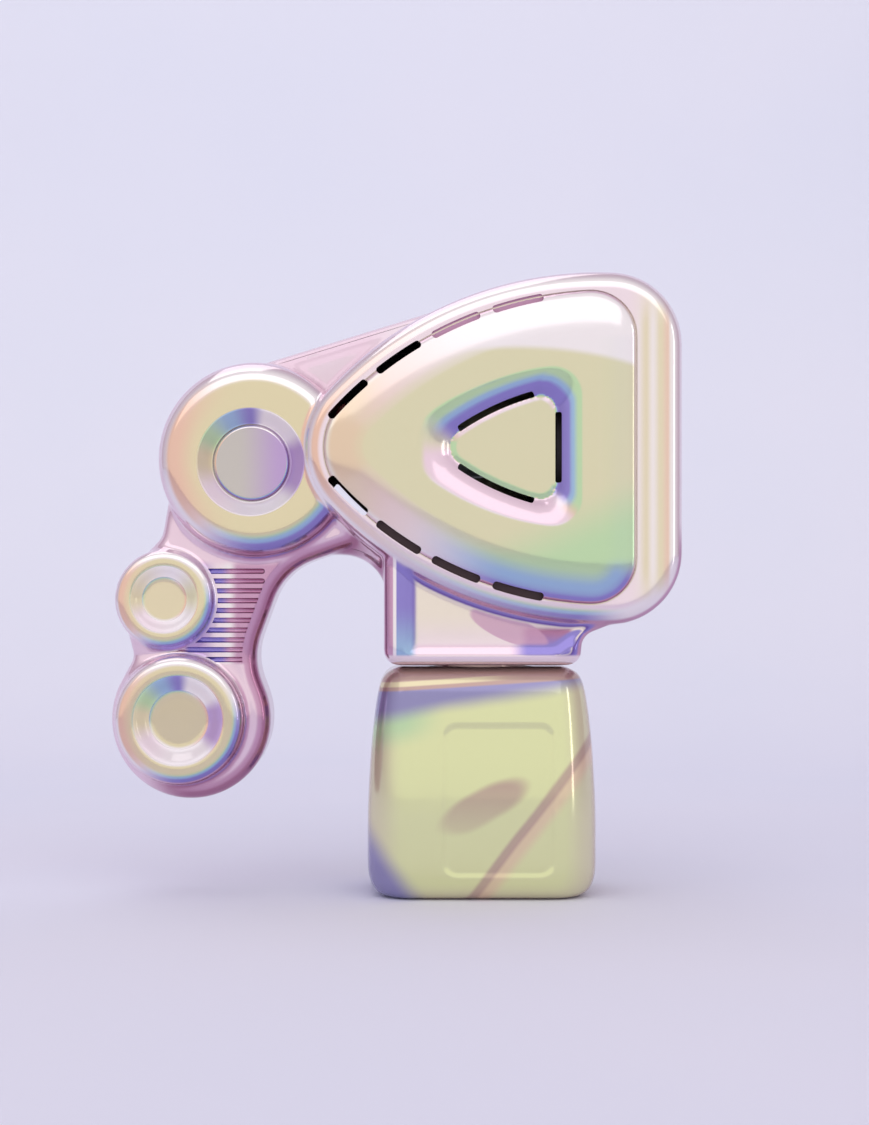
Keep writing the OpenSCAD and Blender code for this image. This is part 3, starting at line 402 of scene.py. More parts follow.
def added(bm, *tools):
    return functools.reduce(lambda form, tool: combined(form, tool, "UNION"), tools, bm)


def halved(bm):
    """Cuts a form at the parting plane, keeps what is above and closes the cut."""
    made = bmesh.ops.bisect_plane(
        bm, geom=bm.verts[:] + bm.edges[:] + bm.faces[:], dist=1e-6, plane_co=(0, 0, 0),
        plane_no=(0, 0, 1), clear_inner=True,
    )
    rim = [g for g in made["geom_cut"] if isinstance(g, bmesh.types.BMEdge)]
    bmesh.ops.edgeloop_fill(bm, edges=rim)
    bmesh.ops.recalc_face_normals(bm, faces=bm.faces)
    return bm


RIGHT = spun_by(math.pi / 2, "X")
LEFT = Matrix.Scale(-1, 4, (0, 1, 0)) @ RIGHT
HOLLOW_REACH = 0.004
CREASE = math.radians(38.0)


def finished(bm, name, place, finishes, body, replaces, hollow=None):
    """Puts a form made in millimetres in the frame as a piece; faces near a hollow get the second finish."""
    for face in bm.faces:
        face.smooth = True
        if hollow and hollow.find_nearest(face.calc_center_median())[3] < HOLLOW_REACH:
            face.material_index = 1
    for edge in bm.edges:
        edge.smooth = len(edge.link_faces) == 2 and edge.calc_face_angle(0.0) < CREASE
    shifted(bm, Matrix.Scale(MM, 4) @ place)
    obj = as_object(bm, name)
    for key in finishes:
        obj.data.materials.append(swatch(key))
    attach(obj, body)
    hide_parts(replaces)
    return obj


# Materials.
class Sheet:
    """A node sheet, with short ways to add and wire nodes."""

    MIX_A, MIX_B, MIX_OUT = 6, 7, 2

    def __init__(self, owner, shader="Principled BSDF"):
        self.owner = owner
        owner.use_nodes = True
        self.tree = owner.node_tree
        self.shader = self.tree.nodes[shader]
        self.coords = self.node("TexCoord")

    def feed(self, socket, value):
        """Wires a socket to another one, or sets its value."""
        if isinstance(value, bpy.types.NodeSocket):
            self.tree.links.new(value, socket)
        elif socket.type == "RGBA":
            socket.default_value = (*value[:3], 1.0)
        else:
            socket.default_value = value

    def fill(self, node, values):
        """Gives a node its inputs, each named in lower case."""
        for key, value in values.items():
            self.feed(node.inputs[key.replace("_", " ").title().replace("Ior", "IOR")], value)

    def node(self, kind, **values):
        """A new node, with its inputs given by name."""
        node = self.tree.nodes.new("ShaderNode" + kind)
        self.fill(node, values)
        return node

    def settle(self, **values):
        self.fill(self.shader, values)

    def maths(self, how, *values, clamp=False):
        node = self.node("Math")
        node.operation = how
        node.use_clamp = clamp
        for socket, value in zip(node.inputs, values):
            self.feed(socket, value)
        return node.outputs[0]

    def times(self, a, b, clamp=False):
        return self.maths("MULTIPLY", a, b, clamp=clamp)

    def times_plus(self, a, b, c, clamp=False):
        return self.maths("MULTIPLY_ADD", a, b, c, clamp=clamp)

    def less(self, a, b):
        return self.maths("SUBTRACT", a, b)

    def between(self, value, low, high):
        """0 at low and 1 at high, eased between them."""
        node = self.node("MapRange", value=value, from_min=low, from_max=high)
        node.interpolation_type = "SMOOTHSTEP"
        return node.outputs[0]

    def parts(self, vector):
        return self.node("SeparateXYZ", vector=vector).outputs

    def place(self):
        """Where a point is in the frame, in millimetres."""
        return [self.times(value, 1 / MM) for value in self.parts(self.coords.outputs["Object"])]

    def noise(self, scale, detail=2.0, roughness=0.5):
        place = self.coords.outputs["Object"]
        node = self.node("TexNoise", vector=place, scale=scale, detail=detail, roughness=roughness)
        return node.outputs[0]

    def ramp(self, value, stops):
        node = self.node("ValToRGB", fac=value)
        ramp = node.color_ramp
        ramp.interpolation = "EASE"
        while len(ramp.elements) < len(stops):
            ramp.elements.new(0.5)
        for element, (place, colour) in zip(ramp.elements, stops):
            element.position = place
            element.color = (*colour[:3], 1.0)
        return node.outputs[0]

    def mix(self, factor, a, b):
        node = self.node("Mix")
        node.data_type = "RGBA"
        for place, value in ((0, factor), (self.MIX_A, a), (self.MIX_B, b)):
            self.feed(node.inputs[place], value)
        return node.outputs[self.MIX_OUT]

    def bump(self, height, strength, distance):
        node = self.node("Bump", height=height, strength=strength, distance=distance)
        self.settle(normal=node.outputs[0])


class Plating(Sheet):
    """Pearly plating whose colour follows the lean of the moulded form: partly iridescent film, partly
    painted light and shade, pale where it leans up and dark mauve where it turns down.
    """

    def __init__(self, name, colours, reach):
        super().__init__(bpy.data.materials.new(name))
        self.c = colours
        self.nx, _, self.nz = self.parts(self.coords.outputs["Normal"])
        self.px, self.py, self.pz = self.place()
        self.out = self.maths("ABSOLUTE", self.py)
        self.rise = self.less(self.pz, AXIS_Z)
        self.height = self.maths("ABSOLUTE", self.rise)
        lean = self.maths("SQRT", self.times_plus(self.nx, self.nx, self.times(self.nz, self.nz)))
        self.unit = self.maths("MAXIMUM", lean, 0.05)
        drift = self.times_plus(self.noise(26.0, 1.0), 0.2, reach - 0.1)
        # This value grows as a face turns from the side view; the colours it picks are partly the film's
        # iridescence and partly painted light and shade.
        self.film = self.times(lean, drift, clamp=True)

    def towards(self, x, z, low, high):
        """How far a face leans in a direction, from 0 to 1."""
        along = self.times_plus(self.nx, x, self.times(self.nz, z))
        return self.between(self.maths("DIVIDE", along, self.unit), low, high)

    def zone(self, *limits):
        """1 inside all of the limits, each (value, outside, inside)."""
        return functools.reduce(self.times, [self.between(*limit) for limit in limits])

    def offset(self, centre):
        """How far ahead of and above a point of the side view."""
        return self.less(self.px, centre[0]), self.less(self.pz, centre[1])

    def from_point(self, centre):
        """Radius and turn (0 to 1, from the rear through the foot) round a point of the side view."""
        dx, dz = self.offset(centre)
        turn = self.times_plus(self.maths("ARCTAN2", dz, dx), 0.5 / math.pi, 0.5)
        return self.maths("SQRT", self.times_plus(dx, dx, self.times(dz, dz))), turn

    def along(self, centre, x, z):
        """Distance from a point of the side view along a direction."""
        dx, dz = self.offset(centre)
        return self.times_plus(dx, x, self.times(dz, z))

    def oval(self, centre, x, z, length, width):
        """Below 1 inside a long oval that lies along a direction."""
        a = self.maths("DIVIDE", self.along(centre, x, z), length)
        b = self.maths("DIVIDE", self.along(centre, -z, x), width)
        return self.times_plus(a, a, self.times(b, b))

    def iridescent(self, face, down, front):
        """Iridescent colour with painted light and shade: pale where the form leans up, peach where it leans
        back, green to violet and on to mauve where it leans down.
        """
        c = self.c
        cool = [
            (0.1, c.green), (0.3, c.blue), (0.52, c.violet), (0.72, c.violet), (0.88, c.rose), (1.0, c.mauve),
        ]
        warm = self.ramp(self.film, [(0.1, c.pearl), (0.6, c.pearl), (1.0, c.pink)])
        peach = self.ramp(self.film, [(0.1, c.peach), (0.4, c.peach), (0.66, c.pearl), (1.0, c.pink)])
        leaning = self.mix(self.towards(-1, 0, 0.3, 0.95), warm, peach)
        leaning = self.mix(self.towards(1, 0, 0.5, 0.95), leaning, front)
        leaning = self.mix(down, leaning, self.ramp(self.film, cool))
        return self.mix(self.between(self.film, 0.05, 0.2), face, leaning)

    def finish(self, colour, metallic=0.75, matt=None):
        """Puts the colour on smooth coated metal, plainer where matt is 1."""
        if matt:
            metallic = self.times_plus(matt, -0.6, metallic)
        roughness = self.times_plus(self.noise(180.0, 3.0), 0.06, 0.09)
        self.settle(base_color=colour, roughness=roughness, metallic=metallic)
        self.settle(coat_weight=0.3, coat_roughness=0.05)
        self.bump(self.noise(40.0), 0.03, 0.002)
        return self.owner


def neck_colours(s, c):
    """The framed neck: painted violet shade on its rear slope, with a painted pearl highlight line and a rose
    band of painted shade behind it, an ivory floor with a mauve leaf, and painted violet shade in the floor's
    lower front corner.
    """
    frame_stops = [(0.1, c.ivory), (0.28, c.indigo), (0.5, c.violet), (0.75, c.rose), (1.0, c.mauve)]
    slopes = s.ramp(s.film, frame_stops)
    foot = s.mix(s.between(s.px, 6, 11), c.pink, c.violet)
    slopes = s.mix(s.towards(0, 1, 0.2, 0.8), slopes, foot)
    floor = s.mix(s.between(s.pz, 70, 59.5), c.ivory, c.blush)
    # Painted shade: the floor's lower front corner turns mauve to violet.
    corner = s.zone((s.px, 8.5, 11.5), (s.px, 22.5, 20.5), (s.pz, 66.5, 65))
    floor = s.mix(corner, floor, s.mix(s.between(s.pz, 65.5, 60.5), c.mauve, c.violet))
    leaf = s.between(s.oval((6.3, 65.8), 0.92, -0.39, 10.8, 3.4), 1.0, 0.75)
    floor = s.mix(s.times(leaf, 0.8), floor, c.rose)
    neck = s.mix(s.between(s.film, 0.05, 0.2), floor, slopes)
    # Painted shade: blue to violet on the rear slope, then a painted pearl highlight line and a rose band of
    # painted shade behind it.
    rear = s.mix(s.between(s.pz, 59, 72), c.blue, c.violet)
    neck = s.mix(s.zone((s.px, -15.5, -17.8)), neck, rear)
    neck = s.mix(s.zone((s.px, -20.8, -21.1)), neck, c.pearl)
    neck = s.mix(s.zone((s.px, -21.6, -21.9)), neck, c.rose)
    return s.mix(s.zone((s.pz, 59.6, 58.8)), neck, c.blush)


def grip_colours(s, c):
    """The flange and web: pink, with painted mauve shade on flanks that face right and down and along the
    arch, and ribs painted violet to mauve with a pale highlight on their tops.
    """
    # Painted shade: pink to mauve on flanks that face right and down.
    shade = s.ramp(s.film, [(0.06, c.pink), (0.28, c.rose), (0.55, c.mauve), (1.0, c.mauve)])
    flange = s.mix(s.towards(0.8, -0.6, -0.1, 0.6), c.pink, shade)
    flat = s.mix(s.between(s.pz, 96, 118), c.pink, c.blush)
    arch, _ = s.from_point((-37.0, 64.0))
    # Painted shade: a rose band on the flat along the arch.
    flat = s.mix(s.zone((arch, 23.5, 20)), flat, c.rose)
    flange = s.mix(s.between(s.film, 0.04, 0.2), flat, flange)
    ribs = s.zone(
        (s.px, -73.5, -71.5), (arch, 17, 19), (s.pz, 56.5, 57.5), (s.pz, 82.5, 80.5), (s.py, 1, -1)
    )
    # Ribs: painted shade in the grooves, from violet to mauve, and painted light on their tops with a pale
    # highlight across the middle.
    across = s.between(s.px, -71, -54)
    grooves = s.ramp(across, [(0.0, c.violet), (0.35, c.violet), (0.6, c.rose), (1.0, c.mauve)])
    lit_rib_tops = s.ramp(across, [(0.0, c.lilac), (0.35, c.blush), (0.55, c.pearl), (0.75, c.rose), (1.0, c.rose)])
    return s.mix(ribs, flange, s.mix(s.between(s.out, 10.4, 10.9), grooves, lit_rib_tops))


def casing_plating(name, c):
    """The casing: pink flange and web, peach and cream drums, pearly rim round the panels, painted light and
    shade round the dishes and painted reflections streaking the front rim.
    """
    s = Plating(name, c, 1.0)
    rim = s.between(s.out, 17.8, 19.2)
    face = s.mix(rim, c.cream, s.mix(s.between(s.px, 34, 42), c.blush, c.ivory))
    down = s.times(s.towards(0.62, -0.78, 0.1, 0.85), s.zone((s.px, 36, 22)))
    for centre, inner, outer in ((DRUM, 13.0, 19.5), (SMALL, 7.8, 10.8), (RING, 10.5, 14.2)):
        radius, turn = s.from_point(centre)
        rear = s.between(s.maths("ABSOLUTE", s.less(turn, 0.5)), 0.28, 0.46)
        near = s.zone((radius, inner, outer), (radius, outer + 5.0, outer + 3.0))
        face = s.mix(s.times(rear, near), face, c.peach)
    raised = s.iridescent(face, down, s.ramp(s.film, [(0.1, c.ivory), (0.5, c.pearl), (1.0, c.blush)]))
    # Painted reflection: vertical cream, pearl and peach streaks across the front rim, as a strip lamp
    # leaves.
    streak_reflections = s.ramp(
        s.times_plus(s.px, 0.085, -3.12, clamp=True),
        [
            (0.0, c.pearl), (0.2, c.cream), (0.34, c.pearl), (0.5, c.cream), (0.64, c.peach), (0.72, c.pearl),
            (1.0, c.blush),
        ],
    )
    front = s.zone((s.px, 36.2, 38), (s.height, 38, 28))
    raised = s.mix(s.times(front, 0.7), raised, streak_reflections)
    in_neck = s.zone((s.px, -28, -24), (s.pz, 92, 84), (s.out, 18.6, 17.8))
    raised = s.mix(in_neck, raised, neck_colours(s, c))
    level = s.between(s.out, 11.1, 11.7)
    across = s.less(s.between(s.out, 1, 11.7), level)
    level = s.times_plus(s.zone((s.px, -30, -18)), across, level)
    colour = s.mix(level, grip_colours(s, c), raised)
    # Each dish wall is coloured by where round the dish it lies; on the large and lower dishes this is
    # painted light at the foot and painted shade in violet, blue and green at the top, where the wall faces
    # down.
    dish_light_and_shade = [
        (0.0, c.cream), (0.1, c.blush), (0.24, c.pearl), (0.36, c.pearl), (0.43, c.lilac), (0.54, c.lilac),
        (0.6, c.pearl), (0.7, c.pearl), (0.75, c.violet), (0.82, c.blue), (0.91, c.green), (0.98, c.cream),
    ]
    round_small = [
        (0.0, c.cream), (0.12, c.blush), (0.38, c.pearl), (0.52, c.olive), (0.7, c.pearl), (1.0, c.cream),
    ]
    matt = s.zone((s.pz, 110, 122), (s.out, 11.7, 11.1), (s.px, -10, -18))
    for centre, inner, outer, stops in (
        (DISH, 9.5, 12.9, dish_light_and_shade),
        (SMALL, 5.6, 8.0, round_small),
        (RING, 7.4, 10.7, dish_light_and_shade),
    ):
        radius, turn = s.from_point(centre)
        ring = s.zone((radius, outer + 0.4, outer), (radius, inner - 0.3, inner))
        dish = s.times(level, ring)
        colour = s.mix(dish, colour, s.ramp(turn, stops))
        matt = s.maths("MAXIMUM", matt, dish)
    return s.finish(colour, matt=matt)


def panel_plating(name, c):
    """The domed panels: olive cream that turns green and blue towards the lower edge, with a painted pearl
    reflection on the upper dome, a painted highlight on the nose, and painted shade and light on the intake's
    upper and lower walls.
    """
    s = Plating(name, c, 1.5)
    # Painted reflection: the upper dome turns pearl above a curved edge.
    ahead = s.less(s.px, 8.0)
    sheen_edge = s.times_plus(s.times(ahead, ahead), 0.005, s.rise)
    face = s.mix(s.between(sheen_edge, 22.8, 24.8), c.olive, c.pearl)
    low_front = s.times_plus(s.px, 0.45, s.times(s.rise, -1.0))
    face = s.mix(s.between(low_front, 21, 36), face, c.green)
    edge = s.times_plus(s.px, -0.38, s.height)
    intake = s.zone((s.px, -15.5, -13.8), (s.px, 29, 26), (edge, 15.5, 14.2), (s.height, 21.2, 20.2))
    down = s.times(s.towards(0.0, -1.0, -0.1, 0.6), s.zone((s.px, -20, 6)))
    colour = s.iridescent(face, down, s.mix(s.between(s.film, 0.6, 1.0), face, c.ivory))
    # Painted highlight: a paler cream on the panel's nose.
    colour = s.mix(s.times(s.zone((s.px, -22, -32)), 0.5), colour, c.cream)
    # Painted shade on the intake's upper wall, green to violet, and painted light in pink on its lower wall.
    ring = s.ramp(s.film, [(0.1, c.green), (0.3, c.green), (0.48, c.blue), (0.66, c.violet), (1.0, c.violet)])
    ring = s.mix(s.between(s.film, 0.02, 0.12), face, ring)
    colour = s.mix(s.times(intake, s.towards(-0.55, -0.84, -0.3, 0.4)), colour, ring)
    up = s.times(s.between(s.film, 0.06, 0.3), s.towards(0.4, 0.9, 0.1, 0.7))
    return s.finish(s.mix(s.times(intake, up), colour, c.pink), 0.62)


def bottle_plating(name, c):
    """The bottle: lime that turns olive, taupe and dusk where its sides turn away, with painted reflections:
    a slanted violet shoulder with green under it at the rear, a taupe top band crossed by a cream highlight
    line, a mauve-brown leaf, a brown streak with peach beside it and a dusky lower rear corner.
    """
    s = Plating(name, c, 0.85)
    edge = s.ramp(s.film, [(0.15, c.lime), (0.7, c.olive), (0.95, c.taupe), (1.0, c.dusk)])
    colour = s.mix(s.between(s.film, 0.1, 0.3), c.lime, edge)
    waves = s.noise(34.0)
    # Painted reflection: a mauve-brown leaf across the middle of the near side.
    leaf = s.times_plus(waves, 1.6, s.oval((0.3, 23.0), 0.88, 0.48, 13.5, 4.8))
    leaf = s.zone((leaf, 1.75, 1.1), (s.pz, 4, 36), (s.py, 4, -4))
    colour = s.mix(leaf, colour, c.taupe)
    # Painted reflection: a brown streak with a peach band beside it.
    streak = s.times_plus(waves, 2.0, s.along((10.0, 17.0), 0.798, -0.602))
    pale = s.zone((streak, 0.6, 2), (streak, 6, 3))
    dark = s.zone((streak, -0.8, 0.4), (streak, 2.6, 1.4))
    colour = s.mix(s.times(pale, 0.6), colour, c.peach)
    colour = s.mix(s.times(dark, 0.8), colour, c.taupe)
    # Painted reflection of the neck above: a slanted violet shoulder, with green under it at the rear.
    slant = s.times_plus(s.px, -0.17, s.times_plus(waves, 4.0, s.pz))
    rear = s.zone((s.px, -8, -20))
    colour = s.mix(s.times(rear, s.between(slant, 41, 48)), colour, c.green)
    colour = s.mix(s.between(slant, 47.5, 52.5), colour, c.dusk)
    # Painted reflection: a dusky lower rear corner.
    corner = s.times_plus(waves, 4.0, s.along((-21.0, 8.0), 0.8, 0.6))
    colour = s.mix(s.zone((corner, 4.5, -2)), colour, c.dusk)
    # Painted reflection: a taupe top band crossed by a wavering cream highlight line.
    top = s.times_plus(s.px, -0.065, s.pz)
    colour = s.mix(s.between(top, 51.6, 52.2), colour, c.taupe)
    line = s.zone((top, 52.6, 53.1), (top, 54.3, 53.8), (waves, 0.38, 0.52), (s.px, 12, -4))
    return s.finish(s.mix(line, colour, c.cream), 0.5)


def button_plating(name, c):
    """The push button: grey, violet towards its front edge."""
    s = Plating(name, c, 1.0)
    face = s.mix(s.between(s.px, -60, -48), c.stone, c.lilac)
    return s.finish(s.iridescent(face, s.towards(0.2, -1.0, -0.2, 0.5), c.lilac))


def stock_surface(s, colour, grain, roughness, metallic=0.0):
    s.settle(base_color=colour, metallic=metallic, roughness=s.times_plus(grain, 0.16, roughness - 0.08))
    s.bump(grain, 0.04, 0.001)
    return s.owner


def casing_inside(name, c):
    """Bare plastic: near black, with painted shade browner low down and maroon behind the panels' nose, and
    mauve floors in the upper front slots.
    """
    s = Sheet(bpy.data.materials.new(name))
    px, _, pz = s.place()
    # Painted shade: umber low in the head and maroon behind the panels' nose.
    colour = s.mix(s.between(pz, 112, 100), c.inside, c.umber)
    colour = s.mix(s.between(px, -33.5, -35), colour, c.maroon)
    blind = s.times(s.between(px, -14.8, -14), s.between(pz, 128, 130))
    return stock_surface(s, s.mix(blind, colour, c.rose), s.noise(300.0, 4.0, 0.6), 0.48)


def plain(name, colour, shade, scale, roughness, metallic=0.0):
    """Moulded or rolled stock with a little mottle in its colour and surface."""
    s = Sheet(bpy.data.materials.new(name))
    grain = s.noise(scale, 4.0, 0.6)
    return stock_surface(s, s.mix(grain, shade, colour), grain, roughness, metallic)


def tint(name, description, value):
    return FloatVectorProperty(
        name=name, description=description, subtype="COLOR", size=3, min=0.0, max=1.0, default=value
    )


def millimetres(name, description, value):
    return FloatProperty(name=name, description=f"{description}, in mm", default=value, min=0.3)


class BlowerColours(bpy.types.PropertyGroup):
    """Colours of the plating and of what shows inside, as linear values."""

    # Several of these stand in for light: pearl is painted light where faces lean up, rose and mauve are
    # painted shade where they turn down, dusk and taupe paint reflections on the bottle, and umber and maroon
    # are painted shade inside the head.
    cream: tint("Cream", "Drums seen face on", (0.77, 0.68, 0.44))
    olive: tint("Olive", "Panels seen face on", (0.73, 0.69, 0.46))
    lime: tint("Lime", "Bottle seen face on", (0.76, 0.79, 0.43))
    peach: tint("Peach", "Drums where they lean back", (0.82, 0.54, 0.42))
    green: tint("Green", "Plating that leans down a little", (0.52, 0.71, 0.42))
    blue: tint("Blue", "Plating that leans down further", (0.34, 0.50, 0.72))
    violet: tint("Violet", "Plating at a steep slope", (0.28, 0.23, 0.60))
    rose: tint("Rose", "Side walls half turned down", (0.60, 0.34, 0.50))
    pink: tint("Pink", "Rims and the low web", (0.86, 0.66, 0.76))
    blush: tint("Blush", "Rim of the head and upper web", (0.89, 0.75, 0.81))
    pearl: tint("Pearl", "Surfaces that lean up", (0.90, 0.84, 0.86))
    mauve: tint("Mauve", "Surfaces that face down", (0.44, 0.19, 0.32))
    ivory: tint("Ivory", "Neck and front rim", (0.86, 0.77, 0.66))
    indigo: tint("Indigo", "Slopes of the neck's frame", (0.16, 0.09, 0.38))
    umber: tint("Umber", "Inside, low in the head", (0.065, 0.028, 0.034))
    dusk: tint("Dusk", "Shoulder of the bottle", (0.30, 0.28, 0.50))
    taupe: tint("Taupe", "Swirls and top of the bottle", (0.50, 0.34, 0.30))
    maroon: tint("Maroon", "Inside, behind the nose of the panels", (0.15, 0.018, 0.022))
    inside: tint("Inside", "Bare plastic inside the casing", (0.022, 0.014, 0.017))
    stone: tint("Stone", "Face of the push button", (0.58, 0.54, 0.50))
    lilac: tint("Lilac", "Front edge of the push button", (0.52, 0.36, 0.64))


class BlowerSizes(bpy.types.PropertyGroup):
    """Fineness of the moulded skins and sizes of their small forms."""

    skin: millimetres("Skin step", "Mesh step of the casing", 0.55)
    panel_skin: millimetres("Panel step", "Mesh step of the panels", 0.4)
    softness: IntProperty(name="Softness", description="Smoothing passes on the casing", default=8, min=0)
    edge_segments: IntProperty(
        name="Edge segments", description="Steps across a rounded edge", default=8, min=2
    )
    slot_width: millimetres("Slot width", "Width of the vent slots", 2.0)
    slot_length: millimetres("Slot length", "Length of the vent slots", 12.6)
    slot_bridge: millimetres("Slot bridge", "Bridge between slots", 3.3)
    rib_pitch: millimetres("Rib pitch", "Pitch of the grip's ribs", 2.4)
    rib_depth: millimetres("Rib depth", "Depth between the ribs", 1.0)
    camera_distance: FloatProperty(
        name="Camera distance", description="From the parting plane", default=0.5, unit="LENGTH"
    )


# Stock finishes: colour, shade, scale of the mottle, roughness and metallic.
STOCK = {
    "inner_plastic": ((0.70, 0.69, 0.66), (0.58, 0.57, 0.54), 400.0, 0.4),
    "dark_plastic": ((0.012, 0.011, 0.012), (0.006, 0.005, 0.006), 500.0, 0.5),
    "motor_can": ((0.40, 0.40, 0.41), (0.30, 0.30, 0.31), 700.0, 0.35, 1.0),
    "steel": ((0.46, 0.46, 0.47), (0.36, 0.36, 0.37), 900.0, 0.3, 1.0),
    "tube": ((0.74, 0.74, 0.70), (0.64, 0.64, 0.60), 300.0, 0.35),
    "seal": ((0.02, 0.02, 0.022), (0.012, 0.012, 0.013), 800.0, 0.7),
    "board": ((0.01, 0.075, 0.02), (0.008, 0.05, 0.015), 600.0, 0.4),
    "cell": ((0.05, 0.08, 0.16), (0.04, 0.06, 0.12), 200.0, 0.35, 0.6),
    "contact": ((0.52, 0.32, 0.06), (0.42, 0.25, 0.05), 700.0, 0.3, 1.0),
    "red_wire": ((0.33, 0.008, 0.01), (0.24, 0.005, 0.008), 900.0, 0.45),
    "black_wire": ((0.008, 0.008, 0.008), (0.004, 0.004, 0.004), 900.0, 0.45),
}
DRESSED = {
    make.__name__: make
    for make in (casing_plating, panel_plating, bottle_plating, button_plating, casing_inside)
}


def swatch(key):
    """Each finish is made once and shared by its pieces."""
    made = bpy.data.materials.get(key)
    if made:
        return made
    if key in DRESSED:
        return DRESSED[key](key, bpy.context.scene.blower_colours)
    return plain(key, *STOCK[key])


# Pieces.
def rounded_ends(bm, r):
    """Rounds the upright corners of a tool."""
    upright = [e for e in bm.edges if (e.verts[0].co - e.verts[1].co).xy.length < MERGE]
    bevelled(bm, [e for e in upright if e.calc_face_angle(0.0) > 1.0], r, 4)


# Rows of vent slots: the side of the axis, how many are open, and the depth of the blind ones.
SLOT_ROWS = ((1, 1, 1.4), (-1, 2, 0.7))
SLOT_INSET = 0.4
SLOT_ROUND = 0.42


def slot_tools(floor, high, sizes):
    """Vent slots that follow the seam of the panel below and above its nose; the front ones are blind."""
    x, y, r = PANEL[4]
    sweep = sizes.slot_length / SIDE_R
    pitch = (sizes.slot_length + sizes.slot_bridge) / SIDE_R
    first = math.atan2(AXIS_Z - y, NOSE_X - x) + math.radians(1) - sweep / 2
    half = sizes.slot_width / 2
    tools = []
    for row, opened, depth in SLOT_ROWS:
        for i in range(4):
            bm = bmesh.new()
            low = floor if i < opened else HEAD_HALF - depth
            a = first + i * pitch
            reach = (r - SLOT_INSET - half, r - SLOT_INSET + half)
            ends = [bm.verts.new((q * math.cos(a), q * math.sin(a), low)) for q in reach]
            edge = bm.edges.new(ends)
            swept(bm, [*ends, edge], sweep, 10)
            shifted(bm, at(x, y - AXIS_Z, 0))
            raised = bmesh.ops.extrude_face_region(bm, geom=bm.faces[:])["geom"]
            bmesh.ops.translate(bm, verts=verts_in(raised), vec=(0, 0, high - low))
            bmesh.ops.recalc_face_normals(bm, faces=bm.faces)
            rounded_ends(bm, sizes.slot_width * SLOT_ROUND)
            shifted(bm, at(0, AXIS_Z, 0) @ Matrix.Scale(row, 4, (0, 1, 0)))
            tools.append(close_up(bm))
    return joined(*tools)


def tree_of(*forms):
    """Tree of the forms' faces, to tell later which faces they made."""
    bm = joined(*[form.copy() for form in forms])
    tree = BVHTree.FromBMesh(bm)
    bm.free()
    return tree


def drum_form(centre, r, half, edge, dish_r=0.0, floor_r=0.0, depth=0.0):
    """Drum with a rounded edge and, if asked, a dish in its face."""
    points = [(0, BASE), (r, BASE), (r, half, edge)]
    if dish_r:
        points += [(dish_r, half, 0.8), (floor_r, half - depth, 0.8), (0, half - depth)]
    else:
        points += [(0, half)]
    return turned(points, centre)


def hollow_forms(grip_r, relief):
    """What is empty inside one half of the casing."""
    low = -2.0
    forms = [
        block(SPINE, low, WEB_HALF - WALL, WALL, 3.0),
        block(grip_line(grip_r), low, GRIP_HALF - WALL, WALL, 3.0),
        block(NECK, low, NECK_HALF - NECK_RECESS - WALL, WALL, 3.0),
        block(HEAD, low, HEAD_CEILING, WALL, 3.0),
    ]
    r, top, floor = DRUM_R - WALL, DRUM_HALF - WALL, DRUM_HALF - DISH_DEPTH - WALL
    drum = [(0, low), (r, low), (r, top, 3.4), (15.5, top), (12.5, floor), (0, floor)]
    forms.append(turned(drum, DRUM, 64))
    if relief:
        forms.append(rod(*SMALL, low, SMALL_HALF - 3.0, SMALL_R - WALL, 48))
        forms.append(rod(*RING, low, RING_HALF - 4.2, RING_R - WALL, 48))
    return forms


def door_outline(grow):
    return [(x, y, DOOR_CORNER_R + grow) for x, y in DOOR_CORNERS]


DOOR_PLACE = at(*BAY, 0) @ spun_by(-CELL_LEAN, "Z")


def casing_half(relief):
    """One half of the casing and a tree of the faces inside it."""
    sizes = bpy.context.scene.blower_sizes
    seg = sizes.edge_segments
    grip_r = SMALL_R - 1 if relief else SMALL_R
    slope = ((2.6, -NECK_RECESS - 0.15), (0.2, -0.35), (0, 3))
    recess = loft([(RECESS, inset, NECK_HALF + rise) for inset, rise in slope])
    forms = [
        cut(pillow(NECK, NECK_HALF, 3.0, seg), recess),
        pillow(SPINE, WEB_HALF, 5.5, seg),
        pillow(grip_line(grip_r), GRIP_HALF, GRIP_EDGE, seg),
        pillow(HEAD, HEAD_HALF, 4.0, seg),
        drum_form(DRUM, DRUM_R, DRUM_HALF, edge=5.0),
    ]
    if relief:
        forms.append(drum_form(SMALL, SMALL_R, SMALL_HALF, edge=2.0, dish_r=7.6, floor_r=6.0, depth=1.4))
        forms.append(drum_form(RING, RING_R, RING_HALF, edge=2.5, dish_r=10.5, floor_r=7.6, depth=2.6))
    skin = halved(fused(joined(*forms), sizes.skin, sizes.softness))

    floor, above = DRUM_HALF - DISH_DEPTH, DRUM_HALF + 3
    dish = [(0, floor), (BUTTON_R + 0.6, floor), (DISH_R, DRUM_HALF), (DISH_R + 2, above), (0, above)]
    skin = cut(skin, turned(dish, DISH))
    slots = slot_tools(HEAD_CEILING - 1, HEAD_HALF + 3, sizes)
    hollow = hollow_forms(grip_r, relief)
    tree = tree_of(slots, *hollow)
    skin = cut(
        skin,
        *hollow,
        slots,
        block(PANEL, HEAD_HALF - PANEL_SEAT, HEAD_HALF + 3, -PANEL_GAP),
        block(PANEL, HEAD_CEILING - 3, HEAD_HALF + 1, PANEL_LEDGE),
        shifted(
            rod(0, 0, FRONT_X - 3.2, FRONT_X + 3, OPENING_R, 96),
            at(0, AXIS_Z, 0) @ spun_by(math.pi / 2, "Y"),
        ),
        shifted(rod(0, 0, NECK_Z - 3, NECK_Z + WALL + 1, SOCKET_R, 96), spun_by(-math.pi / 2, "X")),
    )
    return skin, tree


